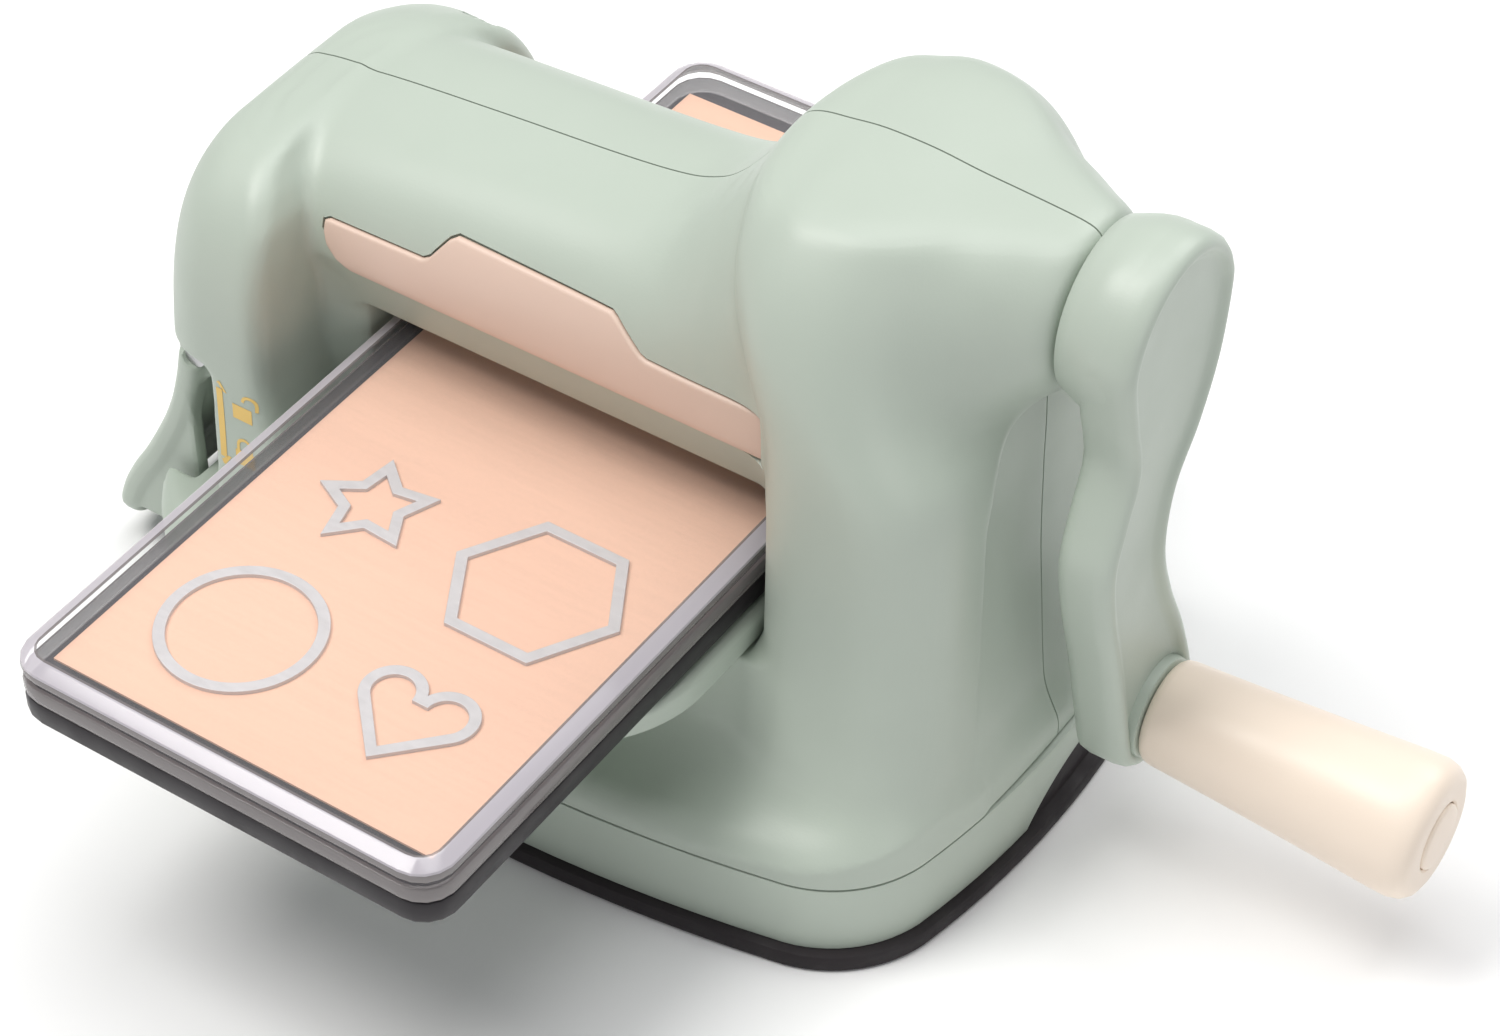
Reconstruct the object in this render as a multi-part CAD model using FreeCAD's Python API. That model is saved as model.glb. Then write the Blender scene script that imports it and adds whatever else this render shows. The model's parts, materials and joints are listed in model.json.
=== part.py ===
import FreeCAD, Part
import math
import os

# Hand-cranked die cutting machine, in millimetres.
# +X runs along the rollers towards the crank, +Y to the back, +Z up.
# The origin is on the table, under the middle of the rollers.

# Driving dimensions: plates, rollers and gears
PLATE_WIDTH = 80.0
PLATE_FRONT_Y = -111.4
PLATE_BACK_Y = 68.9
PLATE_CORNER = 6.0
STACK_BOTTOM_Z = 50.1
BASE_PLATE_T = 4.5
CUT_PLATE_T = 3.1
CARD_T = 0.4
DIE_T = 0.8
ROLLER_R = 11.0
ROLLER_HALF_LENGTH = 38.5
ROLLER_GAP = 0.3
SHAFT_R = 5.0
SHAFT_FLAT = 4.0
MODULE = 1.5
PINION_TEETH = 12
DRIVE_TEETH = 36
MESH_TEETH = 23
STUB_ADDENDUM = 0.8
TOOTH_BACKLASH = 0.14

# Driving dimensions: casing
WALL = 2.6
SEAM_Z = 17.0
PAD_T = 3.4
TRAY_BOTTOM_Z = 3.5
TRAY_FLOOR_Z = 6.0
BASE_HALF_X = 79.5
BASE_HALF_Y = 57.6
BASE_TOP_Z = 22.0
PASSAGE_HALF_X = 42.0
PASSAGE_TOP_Z = 66.0
DECK_Z = (44.0, 49.5)
DECK_HALF_Y = 70.0
NICHE_X = 72.5
JOINT_X = 79.8
BOSS_R = 13.8

# Driving dimensions: crank
ARM_X = (84.5, 94.0)
HUB_R = 15.7
GRIP_Y = 4.0
GRIP_Z = 29.4
GRIP_X = (94.8, 143.0)
GRIP_R = (8.9, 11.9)
GRIP_PIN_R = 3.0

# Driving dimensions: suction lock
LEVER_X = -68.0
LEVER_Z = 51.5
LEVER_BARREL_R = 5.5
LEVER_HALF_Y = 36.0
LEVER_SWEEP_R = 66.0
LEVER_T = 4.6
LEVER_SWEEP_DEG = 35.6
CAM_R = 9.0
CAM_DROP = 1.604
BEAM_X = -40.0
BEAM_Z = (10.3, 14.3)
STUD_HOLE_R = 30.0

# Heights that follow from the rollers and gears
STACK_TOP_Z = STACK_BOTTOM_Z + BASE_PLATE_T + 2 * CUT_PLATE_T + CARD_T + DIE_T
UPPER_Z = STACK_TOP_Z + ROLLER_GAP + ROLLER_R
LOWER_Z = UPPER_Z - MODULE * MESH_TEETH
CRANK_Z = UPPER_Z + MODULE * (PINION_TEETH + DRIVE_TEETH) / 2

# Places of the gear train along X
SIDE_PLATE_X = (45.0, 48.0)
MESH_GEAR_X = (51.0, 55.5)
DRIVE_GEAR_X = (56.5, 61.5)
GEAR_PLATE_X = (63.5, 65.5)
BUSH_R = 7.5
BUSH_FLANGE_R = 9.5
BUSH_FLANGE_T = 1.4
RUNNING = 0.05
SLIP = 0.02

V = FreeCAD.Vector


# Basic solids

def box(x0, x1, y0, y1, z0, z1):
    return Part.makeBox(x1 - x0, y1 - y0, z1 - z0, V(x0, y0, z0))


def rod_x(radius, x0, x1, y, z):
    return Part.makeCylinder(radius, x1 - x0, V(x0, y, z), V(1, 0, 0))


def rod_y(radius, y0, y1, x, z):
    return Part.makeCylinder(radius, y1 - y0, V(x, y0, z), V(0, 1, 0))


def rod_z(radius, z0, z1, x, y):
    return Part.makeCylinder(radius, z1 - z0, V(x, y, z0), V(0, 0, 1))


def fuse(shapes):
    return shapes[0].multiFuse(shapes[1:]).removeSplitter()


def loft(wires):
    return Part.makeLoft(wires, True, False)


def line(a, b):
    return Part.LineSegment(a, b).toShape()


def arc(a, b, c):
    return Part.Arc(a, b, c).toShape()


def spline(points):
    curve = Part.BSplineCurve()
    curve.interpolate(points)
    return curve.toShape()


def solid_of(wire, direction):
    return Part.Face(wire).extrude(direction)


def flat_z(z):
    return lambda u, v: V(u, v, z)


def flat_x(x):
    return lambda u, v: V(x, u, v)


def flat_y(y):
    return lambda u, v: V(u, y, v)


def rounded_loop(at, u0, u1, v0, v1, r):
    """Rectangle with four round corners, on the plane given by at."""
    k = r * (1 - math.sqrt(0.5))
    return Part.Wire([
        line(at(u0 + r, v0), at(u1 - r, v0)),
        arc(at(u1 - r, v0), at(u1 - k, v0 + k), at(u1, v0 + r)),
        line(at(u1, v0 + r), at(u1, v1 - r)),
        arc(at(u1, v1 - r), at(u1 - k, v1 - k), at(u1 - r, v1)),
        line(at(u1 - r, v1), at(u0 + r, v1)),
        arc(at(u0 + r, v1), at(u0 + k, v1 - k), at(u0, v1 - r)),
        line(at(u0, v1 - r), at(u0, v0 + r)),
        arc(at(u0, v0 + r), at(u0 + k, v0 + k), at(u0 + r, v0)),
    ])


def polygon(at, points):
    return Part.makePolygon([at(*p) for p in points + points[:1]])


def base_loop(z, grow=0.0):
    """Outline of the base: four bowed sides joined by round corners."""
    side_sag = 4.05
    front_sag = 6.0
    corner_bow = 0.147
    hx = BASE_HALF_X + grow
    hy = BASE_HALF_Y + grow
    cx = 58.0 + 0.5 * grow
    cy = 36.0 + 0.5 * grow
    at = flat_z(z)

    def corner(a, b):
        bow = V(0, 0, 1).cross(a - b) * corner_bow
        return arc(a, (a + b) * 0.5 + bow, b)

    front = [at(-cx, front_sag - hy), at(0, -hy), at(cx, front_sag - hy)]
    right = [at(hx - side_sag, -cy), at(hx, 0), at(hx - side_sag, cy)]
    back = [at(cx, hy - front_sag), at(0, hy), at(-cx, hy - front_sag)]
    left = [at(side_sag - hx, cy), at(-hx, 0), at(side_sag - hx, -cy)]
    sides = [front, right, back, left]
    edges = []
    for side, following in zip(sides, sides[1:] + sides[:1]):
        edges.append(arc(*side))
        edges.append(corner(side[2], following[0]))
    return Part.Wire(edges)


# Casing forms: each is built at the outside surface, or inset by the wall for the hollow

def base_shoulder(inset):
    levels = [(SEAM_Z, 0.0), (SEAM_Z + 2.5, -0.9), (BASE_TOP_Z, -4.5)]
    if inset:
        levels = [(SEAM_Z - 1, 0.0), (SEAM_Z + 1, -0.9), (BASE_TOP_Z - inset, -4.5)]
    return Part.makeLoft([base_loop(z, grow - inset) for z, grow in levels], True, True)


RIGHT_PILLAR = [
    (17.0, 39.0, 77.8, 49.5, 17.0),
    (22.0, 40.0, 76.4, 45.5, 16.0),
    (28.0, 40.8, 75.6, 42.0, 15.0),
    (40.0, 41.0, 75.2, 39.3, 13.5),
    (56.0, 41.0, 75.0, 38.3, 13.0),
    (74.0, 41.0, 75.0, 38.0, 13.0),
    (88.0, 40.0, 75.0, 37.8, 13.2),
    (100.0, 37.6, 74.2, 36.6, 14.0),
    (110.0, 35.0, 72.0, 33.2, 14.0),
    (117.0, 33.0, 68.5, 27.5, 14.0),
    (122.0, 31.2, 64.0, 20.5, 12.0),
    (124.5, 29.5, 58.0, 12.0, 8.0),
]

LEFT_PILLAR = [
    (17.0, -77.8, -39.0, 49.5, 17.0),
    (22.0, -76.4, -40.0, 46.0, 16.0),
    (28.0, -75.2, -40.8, 43.5, 15.0),
    (38.0, -74.3, -41.0, 42.0, 14.0),
    (52.0, -74.0, -41.0, 41.0, 14.5),
    (62.0, -74.0, -41.2, 39.5, 15.0),
    (74.0, -73.6, -42.2, 35.5, 14.5),
    (84.0, -72.0, -45.0, 29.0, 12.5),
    (90.5, -69.0, -48.0, 22.0, 9.5),
    (94.3, -64.5, -52.5, 13.5, 5.5),
]


def pillar(levels, inset):
    """One pillar of the casing; its hollow stays clear of the niche's floor."""
    top = levels[-1][0]
    shoulder = 0.7 * top
    wires = []
    for index, (z, x0, x1, depth, r) in enumerate(levels):
        if inset:
            x1 = min(x1, NICHE_X)
        if inset and index == 0:
            z = z - 1
        z = z - inset * max(0.0, (z - shoulder) / (top - shoulder))
        x0 = x0 + inset
        x1 = x1 - inset
        r = min(r - inset, 0.45 * (x1 - x0))
        wires.append(rounded_loop(flat_z(z), x0, x1, inset - depth, depth - inset, r))
    return Part.makeLoft(wires, True, inset > 0)


def boss_funnel(inset):
    """Sweep of the housing's top from the pillar to the round crank joint."""
    stations = [
        (50.0, 33.0, 82.0, 124.0, 14.0),
        (60.0, 28.5, 85.0, 124.3, 14.0),
        (70.0, 20.0, 91.0, 124.2, 13.6),
        (JOINT_X, BOSS_R + 0.1, CRANK_Z - BOSS_R - 0.1, CRANK_Z + BOSS_R + 0.1, BOSS_R),
    ]
    wires = []
    for index, (x, half_y, z0, z1, r) in enumerate(stations):
        if index == len(stations) - 1:
            x = x - inset
        y = half_y - inset
        wires.append(rounded_loop(flat_x(x), -y, y, z0 + inset, z1 - inset, r - inset))
    return loft(wires)


HOOD_TOP = [(-66.0, 92.5), (-58.0, 94.2), (-50.0, 95.4), (-29.0, 97.3), (-2.0, 99.6), (8.0, 101.1),
            (14.0, 103.4), (18.0, 106.3), (22.0, 111.0), (26.0, 117.0), (30.0, 121.2), (36.0, 123.0),
            (46.0, 123.2)]
HOOD_BULGE = (25.5, 77.0)
HOOD_LIP_Y = 21.5
HOOD_FULLNESS = 2.4


def hood_loop(x, top, inset, bottom):
    """Cross-section of the bridge: straight lower sides and a full round top."""
    half_y, mid_z = HOOD_BULGE
    at = flat_x(x)
    a = half_y - inset
    b = top - inset - mid_z
    crown = []
    for step in range(9):
        angle = math.pi * step / 8
        c = math.cos(angle)
        s = math.sin(angle)
        y = math.copysign(a * abs(c) ** (2 / HOOD_FULLNESS), c)
        crown.append(at(y, mid_z + b * s ** (2 / HOOD_FULLNESS)))
    slope = (half_y - HOOD_LIP_Y) / (mid_z - PASSAGE_TOP_Z)
    low_y = a - slope * (mid_z - bottom)
    return Part.Wire([
        spline(crown),
        line(at(-a, mid_z), at(-low_y, bottom)),
        line(at(-low_y, bottom), at(low_y, bottom)),
        line(at(low_y, bottom), at(a, mid_z)),
    ])


def hood(inset):
    bottom = PASSAGE_TOP_Z - 4 if inset > 0 else PASSAGE_TOP_Z
    return Part.makeLoft([hood_loop(x, top, inset, bottom) for x, top in HOOD_TOP], True, True)


def pedestal(inset):
    """Body under the feed deck, between the pillars."""
    levels = [(19.0, 47.0), (24.0, 41.0), (31.0, 37.5), (DECK_Z[0], 36.0)]
    wires = []
    for index, (z, depth) in enumerate(levels):
        if inset and index == 0:
            z = z - 3
        if inset and index == len(levels) - 1:
            z = z + 1
        wires.append(rounded_loop(flat_z(z), -46, 46, inset - depth, depth - inset, 4))
    return loft(wires)


def casing_form(inset):
    forms = [
        base_shoulder(inset),
        pillar(RIGHT_PILLAR, inset),
        pillar(LEFT_PILLAR, inset),
        boss_funnel(inset),
        hood(inset),
        pedestal(inset),
    ]
    return fuse(forms)


# Screw places: (x, z) of the casing's Y screws and (x, y) of the tray's Z screws
CASING_SCREWS = [(38.5, 112.0), (60.0, 21.0), (-55.2, 85.5), (-55.2, 24.0)]
TRAY_SCREWS = [(-54.6, -34.0), (-54.6, 34.0), (62.0, -34.0), (62.0, 34.0)]
FRAME_SCREWS = [(sx * 53.0, sy * 15.0) for sx in (-1, 1) for sy in (-1, 1)]
SCREW_R = 1.5
SCREW_HEAD_R = 2.9
SCREW_HEAD_T = 1.8
CASING_POST_R = 3.8
CASING_HEAD_Y = 12.0

# The lever's pocket in the left pillar
POCKET_X = (-59.5, -58.0)
POCKET_TOP_Z = 58.5
POCKET_WALL = 1.5
RECESS_HALF_Y = 37.3
SILL_Z = 26.0
RIB_Y = (9.0, 11.5)
RIB_X = -71.5


def lever_recess(top):
    """Space cut from the casing's left side for the lever."""
    return box(-100, POCKET_X[0], -RECESS_HALF_Y, RECESS_HALF_Y, TRAY_FLOOR_Z, top)


def lever_pocket():
    """Inner walls round the lever: a back, a roof, and a closed corner on each side of its lower end."""
    deep = 60
    spare = 0.5
    walls = [box(POCKET_X[0] - spare, POCKET_X[1], -deep, deep, SEAM_Z - 1, POCKET_TOP_Z + spare)]
    walls.append(box(-80, POCKET_X[1], -deep, deep, POCKET_TOP_Z, POCKET_TOP_Z + POCKET_WALL))
    for side in (-1, 1):
        near, far = sorted((side * (RECESS_HALF_Y - spare), side * (RECESS_HALF_Y + POCKET_WALL)))
        walls.append(box(-80, POCKET_X[1] - spare, near, far, SEAM_Z - 1, SILL_Z))
        near, far = sorted((side * RECESS_HALF_Y, side * deep))
        walls.append(box(-80, POCKET_X[1] - spare, near, far, SILL_Z - POCKET_WALL, SILL_Z + spare))
    return fuse(walls)


def lever_ribs():
    """Two ribs on the pocket's back that carry the lever's pin."""
    ribs = []
    for side in (-1, 1):
        near, far = sorted((side * RIB_Y[0], side * RIB_Y[1]))
        ribs.append(box(RIB_X, POCKET_X[1], near, far, LEVER_Z - 3, POCKET_TOP_Z + POCKET_WALL))
    return fuse(ribs)


def casing_blank():
    """Front half of the casing above the lower seam, before its screw holes."""
    niche_top = 92.0
    niche = fuse([box(NICHE_X, 90, -19, 19, 26, niche_top - 19), rod_x(19, NICHE_X, 90, 0, niche_top - 19)])
    passage = box(-PASSAGE_HALF_X, PASSAGE_HALF_X, -90, 90, DECK_Z[0], PASSAGE_TOP_Z)
    outside = casing_form(0.0).cut(niche)

    ribs = lever_ribs()
    inside = [lever_pocket(), ribs, rod_x(10.5, 69, JOINT_X, 0, CRANK_Z)]
    for x, z in CASING_SCREWS:
        inside.append(rod_y(CASING_POST_R, -60, 60, x, z))
    hollow = casing_form(WALL)
    for piece in inside:
        hollow = hollow.cut(piece)
    front = outside.common(box(-200, 200, -200, 0, 0, 200))
    shell = front.cut(passage).cut(hollow)
    columns = [rod_z(4.0, TRAY_FLOOR_Z, BASE_TOP_Z - 1, x, y) for x, y in TRAY_SCREWS if y < 0]
    shell = shell.multiFuse(columns)

    recess = [
        lever_recess(SILL_Z + 1),
        box(-100, POCKET_X[0], -80, 80, SILL_Z, LEVER_Z + LEVER_BARREL_R + 0.5),
    ]
    holes = [piece.cut(ribs) for piece in recess]
    holes.append(rod_y(2.0 + SLIP, -40, 40, LEVER_X, LEVER_Z))
    holes.append(rod_x(BUSH_R + SLIP, 66, JOINT_X + 1, 0, CRANK_Z))
    holes.append(box(POCKET_X[0] - 1, POCKET_X[1] + 1, -6.5, 6.5, SEAM_Z - 1, 19))
    for z in (UPPER_Z, LOWER_Z):
        holes.append(rod_x(SHAFT_R + 1.5, -50, 50, 0, z))
    for x, y in TRAY_SCREWS:
        holes.append(rod_z(SCREW_R + SLIP, TRAY_FLOOR_Z - 1, 17, x, y))
    for hole in holes:
        shell = shell.cut(hole)
    return max(shell.Solids, key=lambda solid: solid.Volume)


def front_shell(blank, trim):
    shell = blank.cut(trim)
    for x, z in CASING_SCREWS:
        shell = shell.cut(rod_y(SCREW_R + SLIP, -14, 1, x, z))
    return shell


def rear_shell(blank):
    shell = blank.mirror(V(0, 0, 0), V(0, 1, 0))
    for x, z in CASING_SCREWS:
        shell = shell.cut(rod_y(SCREW_R + 0.2, -1, CASING_HEAD_Y + 1, x, z))
        shell = shell.cut(rod_y(SCREW_HEAD_R + 0.3, CASING_HEAD_Y, 60, x, z))
    return shell


TRIM_OUTLINE = [(-46.0, 84.2), (-26.3, 84.6), (-21.7, 89.9), (9.2, 89.9), (16.0, 85.0), (41.0, 85.0),
                (41.0, 75.9), (-40.0, 75.9), (-44.2, 78.0)]


def front_trim():
    """Curved strip let into the bridge's front, standing a little proud of it."""
    proud = 0.5
    depth = 1.0
    prism = solid_of(polygon(flat_y(-60), TRIM_OUTLINE), V(0, 60, 0))
    return hood(-proud).cut(hood(depth)).common(prism)


def base_tray():
    band = solid_of(base_loop(TRAY_BOTTOM_Z), V(0, 0, SEAM_Z - TRAY_BOTTOM_Z))
    hollow = solid_of(base_loop(TRAY_FLOOR_Z, -WALL), V(0, 0, SEAM_Z))
    tray = band.cut(hollow).cut(rod_z(STUD_HOLE_R, 0, 20, 0, 0))
    tray = tray.cut(box(-100, -68, -RECESS_HALF_Y, RECESS_HALF_Y, TRAY_FLOOR_Z, 30))
    tray = tray.cut(peel_notch(0.0))
    for x, y in TRAY_SCREWS:
        tray = tray.cut(rod_z(SCREW_R + 0.2, 0, 20, x, y))
        tray = tray.cut(rod_z(SCREW_HEAD_R + 0.2, 0, TRAY_BOTTOM_Z + SCREW_HEAD_T, x, y))
    for x, y in FRAME_SCREWS:
        tray = tray.cut(rod_z(SCREW_R + SLIP, 0, 20, x, y))
    return tray


NOTCH_Y = 8.0
NOTCH_R = 24.0
NOTCH_CENTRE_Z = -13.0


def peel_notch(gap):
    """Arched notch in the base's right side, where the pad's peel tab shows."""
    return rod_x(NOTCH_R - gap, 70, 90, NOTCH_Y, NOTCH_CENTRE_Z)


def suction_pad():
    """Rubber foot, with a shallow domed middle that the lock pulls up."""
    rise = 2.6
    dome_half = 27.0
    sphere_r = (dome_half ** 2 + rise ** 2) / (2 * rise)
    pad = solid_of(base_loop(0.0, 1.6), V(0, 0, PAD_T))
    crown = Part.makeSphere(sphere_r, V(0, 0, PAD_T + rise - sphere_r))
    crown = crown.common(box(-60, 60, -60, 60, PAD_T - 1, 20))
    tab = solid_of(base_loop(PAD_T - 1, -0.6), V(0, 0, 12)).cut(solid_of(base_loop(0.0, -2.4), V(0, 0, 30)))
    tab = tab.common(peel_notch(0.4))
    pad = fuse([pad, crown, tab])
    return pad.cut(Part.makeSphere(sphere_r, V(0, 0, rise - sphere_r)))


def feed_deck():
    """Shelf that carries the plates, with a rounded tongue at each end and a slot for the roller."""
    half_x = PASSAGE_HALF_X - 0.3
    top = DECK_Z[1]
    slab = solid_of(rounded_loop(flat_z(DECK_Z[0]), -half_x, half_x, -DECK_HALF_Y, DECK_HALF_Y, 24.0),
                    V(0, 0, top - DECK_Z[0]))
    rims = [edge for edge in slab.Edges if abs(edge.BoundBox.ZMax - edge.BoundBox.ZMin) < 0.01]
    slab = slab.makeFillet(1.6, rims)
    return slab.cut(box(-ROLLER_HALF_LENGTH - 0.7, ROLLER_HALF_LENGTH + 0.7, -12.0, 12.0, 30, 60))


# Frame and shafts

TIE_RODS = [(-12.0, 84.0), (12.0, 84.0), (-16.0, 26.0), (16.0, 26.0)]
GEAR_SPACERS = [(-24.0, 30.0), (24.0, 30.0), (-17.0, 104.0), (17.0, 104.0)]


def side_plate(side):
    """Steel plate inside one pillar: web, foot flange and bearing holes."""
    x0, x1 = SIDE_PLATE_X
    web = [box(x0, x1, -19, 19, TRAY_FLOOR_Z, 84), box(x0, x1, -14, 14, 80, 89)]
    web.append(box(x0, x1 + 10, -19, 19, TRAY_FLOOR_Z, TRAY_FLOOR_Z + 2))
    if side > 0:
        web.append(box(x0, x1, -29, 29, 22, 36))
        web.append(box(x0, x1, -13, 13, 80, 100))
        web.append(box(x0, x1, -21, 21, 97, 115.5))
    plate = fuse(web)
    holes = [rod_x(BUSH_R + SLIP, 40, 52, 0, z) for z in (UPPER_Z, LOWER_Z, CRANK_Z)]
    holes += [rod_x(2.0 + SLIP, 40, 52, y, z) for y, z in TIE_RODS]
    holes += [rod_x(SCREW_R + SLIP, 40, 52, y, z) for y, z in GEAR_SPACERS]
    holes += [rod_z(SCREW_R + SLIP, 0, 20, 53, sy * 15) for sy in (-1, 1)]
    for hole in holes:
        plate = plate.cut(hole)
    if side < 0:
        plate = plate.mirror(V(0, 0, 0), V(1, 0, 0))
        plate = plate.cut(box(-SIDE_PLATE_X[1], -SIDE_PLATE_X[0], -8, 8, TRAY_FLOOR_Z + 2, 18))
    return plate


def tie_rods():
    rods = []
    for y, z in TIE_RODS:
        body = rod_x(3.0, -SIDE_PLATE_X[0], SIDE_PLATE_X[0], y, z)
        rods.append(fuse([body, rod_x(2.0, -50.4, 50.4, y, z)]))
    return Part.makeCompound(rods)


def hex_nut(across, bore, x0, x1, y, z):
    radius = across / math.sqrt(3)
    angles = [math.pi * k / 3 for k in range(6)]
    corners = [(y + radius * math.cos(a), z + radius * math.sin(a)) for a in angles]
    return solid_of(polygon(flat_x(x0), corners), V(x1 - x0, 0, 0)).cut(rod_x(bore, x0 - 1, x1 + 1, y, z))


def tie_rod_nuts():
    nuts = []
    for y, z in TIE_RODS:
        nuts.append(hex_nut(7.0, 2.0 + SLIP, SIDE_PLATE_X[1], 50.2, y, z))
        nuts.append(hex_nut(7.0, 2.0 + SLIP, -50.2, -SIDE_PLATE_X[1], y, z))
    return Part.makeCompound(nuts)


def gear_plate():
    x0, x1 = GEAR_PLATE_X
    plate = fuse([
        box(x0, x1, -28, 28, 25.6, 35),
        box(x0, x1, -12, 12, 25.6, 100),
        box(x0, x1, -21, 21, 98, 109),
    ])
    holes = [rod_x(BUSH_R + SLIP, 60, 70, 0, z) for z in (UPPER_Z, LOWER_Z)]
    holes.append(rod_x(8.0, 60, 70, 0, CRANK_Z))
    holes += [rod_x(SCREW_R + SLIP, 60, 70, y, z) for y, z in GEAR_SPACERS]
    for hole in holes:
        plate = plate.cut(hole)
    return plate


def gear_plate_spacers():
    x0, x1 = SIDE_PLATE_X[1], GEAR_PLATE_X[0]
    tubes = [rod_x(3.5, x0, x1, y, z).cut(rod_x(SCREW_R + 0.1, x0, x1, y, z)) for y, z in GEAR_SPACERS]
    return Part.makeCompound(tubes)


def gear_plate_screws():
    screws = []
    for y, z in GEAR_SPACERS:
        head = rod_x(SCREW_HEAD_R, GEAR_PLATE_X[1], GEAR_PLATE_X[1] + SCREW_HEAD_T, y, z)
        screws.append(fuse([rod_x(SCREW_R, SIDE_PLATE_X[0], GEAR_PLATE_X[1] + 0.5, y, z), head]))
    return Part.makeCompound(screws)


def bush(x0, x1, flange_x, z):
    """Flanged plain bearing on an X axis; the flange starts at flange_x."""
    body = fuse([rod_x(BUSH_R, x0, x1, 0, z), rod_x(BUSH_FLANGE_R, flange_x, flange_x + BUSH_FLANGE_T, 0, z)])
    return body.cut(rod_x(SHAFT_R + RUNNING, x0 - 5, x1 + 5, 0, z))


def roller_bushes(z):
    x0, x1 = SIDE_PLATE_X
    g0, g1 = GEAR_PLATE_X
    return Part.makeCompound([
        bush(-x1, -x0, -x1 - BUSH_FLANGE_T, z),
        bush(x0, x1, x1, z),
        bush(g0, g1, g0 - BUSH_FLANGE_T, z),
    ])


def crank_bushes():
    x0, x1 = SIDE_PLATE_X
    outer = bush(69.0, JOINT_X - 0.2, 69.0 - BUSH_FLANGE_T, CRANK_Z)
    return Part.makeCompound([bush(x0, x1, x1, CRANK_Z), outer])


SHAFT_ENDS = (-51.2, 68.0)
FLAT_FROM_X = 49.6
GROOVE_R = 4.2
GROOVE_T = 0.9


def d_flat(x0, x1, z, gap):
    """Half-space block that makes the flat on a shaft, or the key of a bore."""
    return box(x0, x1, -SHAFT_R - 1, SHAFT_R + 1, z + SHAFT_FLAT + gap, z + SHAFT_R + 1)


def ring_groove(x, z):
    return rod_x(SHAFT_R + 1, x, x + GROOVE_T, 0, z).cut(rod_x(GROOVE_R, x, x + GROOVE_T, 0, z))


def roller(z):
    barrel = rod_x(ROLLER_R, -ROLLER_HALF_LENGTH, ROLLER_HALF_LENGTH, 0, z)
    ends = [edge for edge in barrel.Edges if edge.BoundBox.XLength < 0.01]
    barrel = barrel.makeFillet(0.8, ends)
    shaft = rod_x(SHAFT_R, SHAFT_ENDS[0], SHAFT_ENDS[1], 0, z)
    whole = fuse([barrel, shaft])
    whole = whole.cut(d_flat(FLAT_FROM_X, GEAR_PLATE_X[0] - 1.6, z, 0))
    for x in CLIP_X:
        whole = whole.cut(ring_groove(x, z))
    return whole


CLIP_X = (-50.8, 66.4)


def clip(x, z):
    """Open retaining ring that sits in a shaft's groove."""
    ring = rod_x(6.8, x + SLIP, x + GROOVE_T - SLIP, 0, z)
    ring = ring.cut(rod_x(GROOVE_R + SLIP, x, x + GROOVE_T, 0, z))
    return ring.cut(box(x, x + GROOVE_T, -2.2, 2.2, z - 9, z))


def roller_clips(z):
    return Part.makeCompound([clip(x, z) for x in CLIP_X])


CRANK_SHAFT_X = (43.4, 91.0)
CRANK_CLIP_X = 44.0


def crank_shaft():
    x0, x1 = CRANK_SHAFT_X
    shaft = rod_x(SHAFT_R, x0, x1, 0, CRANK_Z)
    shaft = shaft.cut(d_flat(FLAT_FROM_X, DRIVE_GEAR_X[1] + 1, CRANK_Z, 0))
    shaft = shaft.cut(d_flat(JOINT_X + 0.8, x1, CRANK_Z, 0))
    return shaft.cut(ring_groove(CRANK_CLIP_X, CRANK_Z))


def gear(teeth, x0, x1, z, first_tooth_deg, addendum):
    """Spur gear with involute flanks and a keyed bore, its first tooth at an angle from +Y."""
    pressure = math.radians(20)
    pitch_r = MODULE * teeth / 2
    base_r = pitch_r * math.cos(pressure)
    tip_r = pitch_r + addendum * MODULE
    root_r = pitch_r - 1.25 * MODULE
    half_tooth = (math.pi * MODULE / 2 - TOOTH_BACKLASH) / (2 * pitch_r)
    involute = lambda r: math.tan(math.acos(base_r / r)) - math.acos(base_r / r)
    start_r = max(base_r, root_r)
    at = flat_x(x0)

    def spot(r, angle):
        return at(r * math.cos(angle), z + r * math.sin(angle))

    def flank(centre, side):
        radii = [start_r + (tip_r - start_r) * k / 4 for k in range(5)]
        offsets = [half_tooth + involute(pitch_r) - involute(r) for r in radii]
        return [spot(r, centre + side * offset) for r, offset in zip(radii, offsets)]

    edges = []
    step = 2 * math.pi / teeth
    first = math.radians(first_tooth_deg)
    for k in range(teeth):
        centre = first + k * step
        rise = flank(centre, -1)
        fall = flank(centre, 1)
        fall.reverse()
        root_half = half_tooth + involute(pitch_r) - involute(start_r)
        foot_in = spot(root_r, centre - root_half)
        foot_out = spot(root_r, centre + root_half)
        next_foot = spot(root_r, centre + step - root_half)
        if start_r > root_r:
            edges.append(line(foot_in, rise[0]))
        edges.append(spline(rise))
        edges.append(arc(rise[-1], spot(tip_r, centre), fall[0]))
        edges.append(spline(fall))
        if start_r > root_r:
            edges.append(line(fall[-1], foot_out))
        edges.append(arc(foot_out, spot(root_r, centre + step / 2), next_foot))
    blank = solid_of(Part.Wire(edges), V(x1 - x0, 0, 0))
    bore = rod_x(SHAFT_R + SLIP, x0 - 1, x1 + 1, 0, z).cut(d_flat(x0 - 1, x1 + 1, z, SLIP))
    return blank.cut(bore)


def crank_pinion():
    return gear(PINION_TEETH, *DRIVE_GEAR_X, CRANK_Z, 270 + 180 / PINION_TEETH, STUB_ADDENDUM)


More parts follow.
